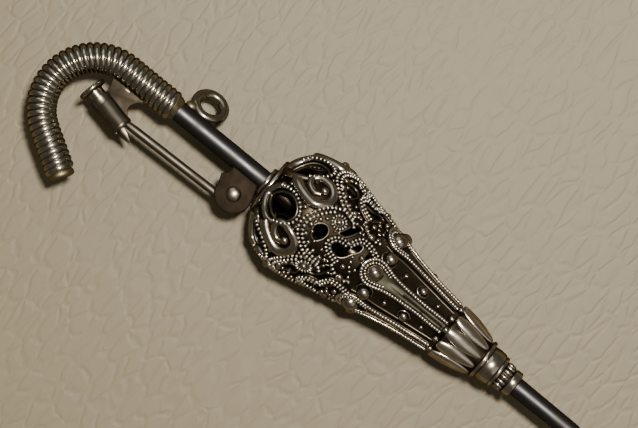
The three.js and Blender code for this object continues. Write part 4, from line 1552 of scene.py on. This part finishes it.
solder_low_corner, solder_high_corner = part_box("catch_solder")
flap_rear = station(solder_low_corner.x) - 0.45
flap_front = station(solder_high_corner.x) + 0.45
flap_foot = 1.0
flap_top = -winding_radius + 0.1
rear_foot = (tube_start + 0.15, flap_foot)
front_foot = (tube_end - 0.15, flap_foot)
front_top = catch_local(on_shaft(flap_front, flap_top))
rear_top = catch_local(on_shaft(flap_rear, flap_top))
waist = catch_local(on_shaft(flap_front - 1.9, -3.0))
front_edge = []
for t in np.linspace(0, 1, 12):
    front_edge.append(tuple((1 - t) ** 2 * a + 2 * t * (1 - t) * b + t**2 * c
                            for a, b, c in zip(front_foot, waist, front_top)))
flap = slab("catch_flap", [rear_foot] + front_edge + [rear_top], -0.25, 0.25, sheet_metal, in_catch, 0.1)
housing = join("catch_tube_and_flap", [catch_tube, lip, flap])
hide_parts("catch_housing")
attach(housing, "root")

seam_steps = 20
seam_line = [on_shaft(x, -winding_radius - 0.1, -0.12)
             for x in np.linspace(flap_rear + 0.2, flap_front - 0.2, seam_steps)]
seam_radii = [0.34 * math.sin(math.pi * t) ** 0.45 + 0.03 * math.sin(17 * t) + 0.03
              for t in np.linspace(0.04, 0.96, seam_steps)]
solder_seam = tube("catch_seam_solder", seam_line, seam_radii, brass)
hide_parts("catch_solder")
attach(solder_seam, "root")

# %% [markdown]
# ## Hinge and pin
# Two round cheeks hang from the shaft, joined by a web that is soldered to it. The hinge joint's
# place in the frame is the rivet's axis, so everything here is measured from it, and the pin turns
# exactly in its bracket.

# %% Hinge bracket
hinge = next(j for j in frame["joints"] if j["name"] == "pin_hinge")
pivot = Vector(hinge["pos_m"])


def at_pivot(x, y=0.0, z=0.0):
    """A point in metres from millimetres along the shaft, across it and up, measured from the rivet."""
    return pivot + Vector((x, y, z)) * MM


def on_rivet(height, a=0.0, b=0.0):
    """The same place for turned pieces: height along the rivet first."""
    return at_pivot(b, a, height)


eye_radius, eye_half = 1.45, 0.45
rivet_radius, rivet_head = 0.5, 0.78
cheek_radius, cheek_inner, cheek_outer = 1.95, 0.49, 0.89
shaft_up = (axis_y - pivot.y) / MM
cheek_top = shaft_up - rod_radius * 0.75
cheek_outline = [(1.35, cheek_top), (-1.75, cheek_top), (-1.7, 1.55), (-2.3, 0.85), (-2.0, 0.2)]
cheek_outline += [(cheek_radius * math.cos(a), cheek_radius * math.sin(a))
                  for a in np.linspace(math.pi, 2 * math.pi, 32)]
cheek_outline += [(1.8, 0.75)]
cheeks = [slab("cheek", cheek_outline, low, high, browned, at_pivot, 0.15)
          for low, high in ((-cheek_outer, -cheek_inner), (cheek_inner, cheek_outer))]
web = slab("hinge web", [(-1.7, 1.5), (-1.7, cheek_top), (1.3, cheek_top), (1.3, 1.5)], -0.6, 0.6, browned,
           at_pivot, 0.05)
bracket = join("hinge_bracket_cheeks", cheeks + [web])
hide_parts("hinge_bracket")
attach(bracket, "root")

# %% [markdown]
# The rivet goes through both cheeks and carries the pin's eye. Its two ends are hammered into
# domes. One profile runs from dome to dome along the rivet's axis and is spun about it.

# %% Rivet
dome = [(cheek_outer + 0.36 * math.cos(a), rivet_head * math.sin(a)) for a in np.linspace(0, math.pi / 2, 9)]
dome[0] = (cheek_outer + 0.36, 0)
rivet_profile = [(-x, r) for x, r in dome]
rivet_profile += [(-cheek_outer + 0.02, rivet_head - 0.04), (-cheek_outer, rivet_radius)]
rivet = turned("hinge_rivet_domed", rivet_profile + [(-x, r) for x, r in reversed(rivet_profile)],
               worn_and_highlit_findings, 40, on_rivet)
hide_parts("hinge_rivet")
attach(rivet, "root")
print("rivet", len(rivet.data.polygons), "faces")

# %% [markdown]
# The pin is one drawn wire. One end is flattened into a round eye that turns on the rivet, and the
# other is ground to a fine point that rests in the catch. The wire leaves the eye at its side, away
# from the shaft. Both are joined into one piece, which rides on the pin's own body.

# %% Pin and eye
stem_radius, stem_length, stem_taper = 0.45, 15.05, 4.0
stem_tilt = math.radians(1.4)
stem_drop = eye_radius - stem_radius


def on_stem(x, y):
    """A point on the pin: x from the rivet towards the crook is negative, before the pin's small tilt."""
    turned_x = x * math.cos(stem_tilt) - y * math.sin(stem_tilt)
    turned_y = x * math.sin(stem_tilt) + y * math.cos(stem_tilt)
    return at_pivot(turned_x, turned_y)


eye_bore = rivet_radius + 0.04
eye = turned("eye", [
    (-eye_half, eye_bore), (-eye_half, eye_radius - 0.1), (-eye_half + 0.1, eye_radius),
    (eye_half - 0.1, eye_radius), (eye_half, eye_radius - 0.1), (eye_half, eye_bore),
], pin_metal, 48, on_rivet)
stem_shares = np.linspace(0, 1, 14)
stem_stations = [-stem_length + stem_taper * s for s in stem_shares] + [-8, -5, -3, -1.2, -0.2]
stem_widths = [0.05 + (stem_radius - 0.05) * math.sin(s * math.pi / 2) ** 0.8 for s in stem_shares]
stem_widths += [stem_radius] * 5
stem = tube("stem", [on_stem(x, -stem_drop) for x in stem_stations], stem_widths, pin_metal, 24)
pin = join("pin_and_eye", [stem, eye])
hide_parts("pin_stem")
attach(pin, "pin_stem")
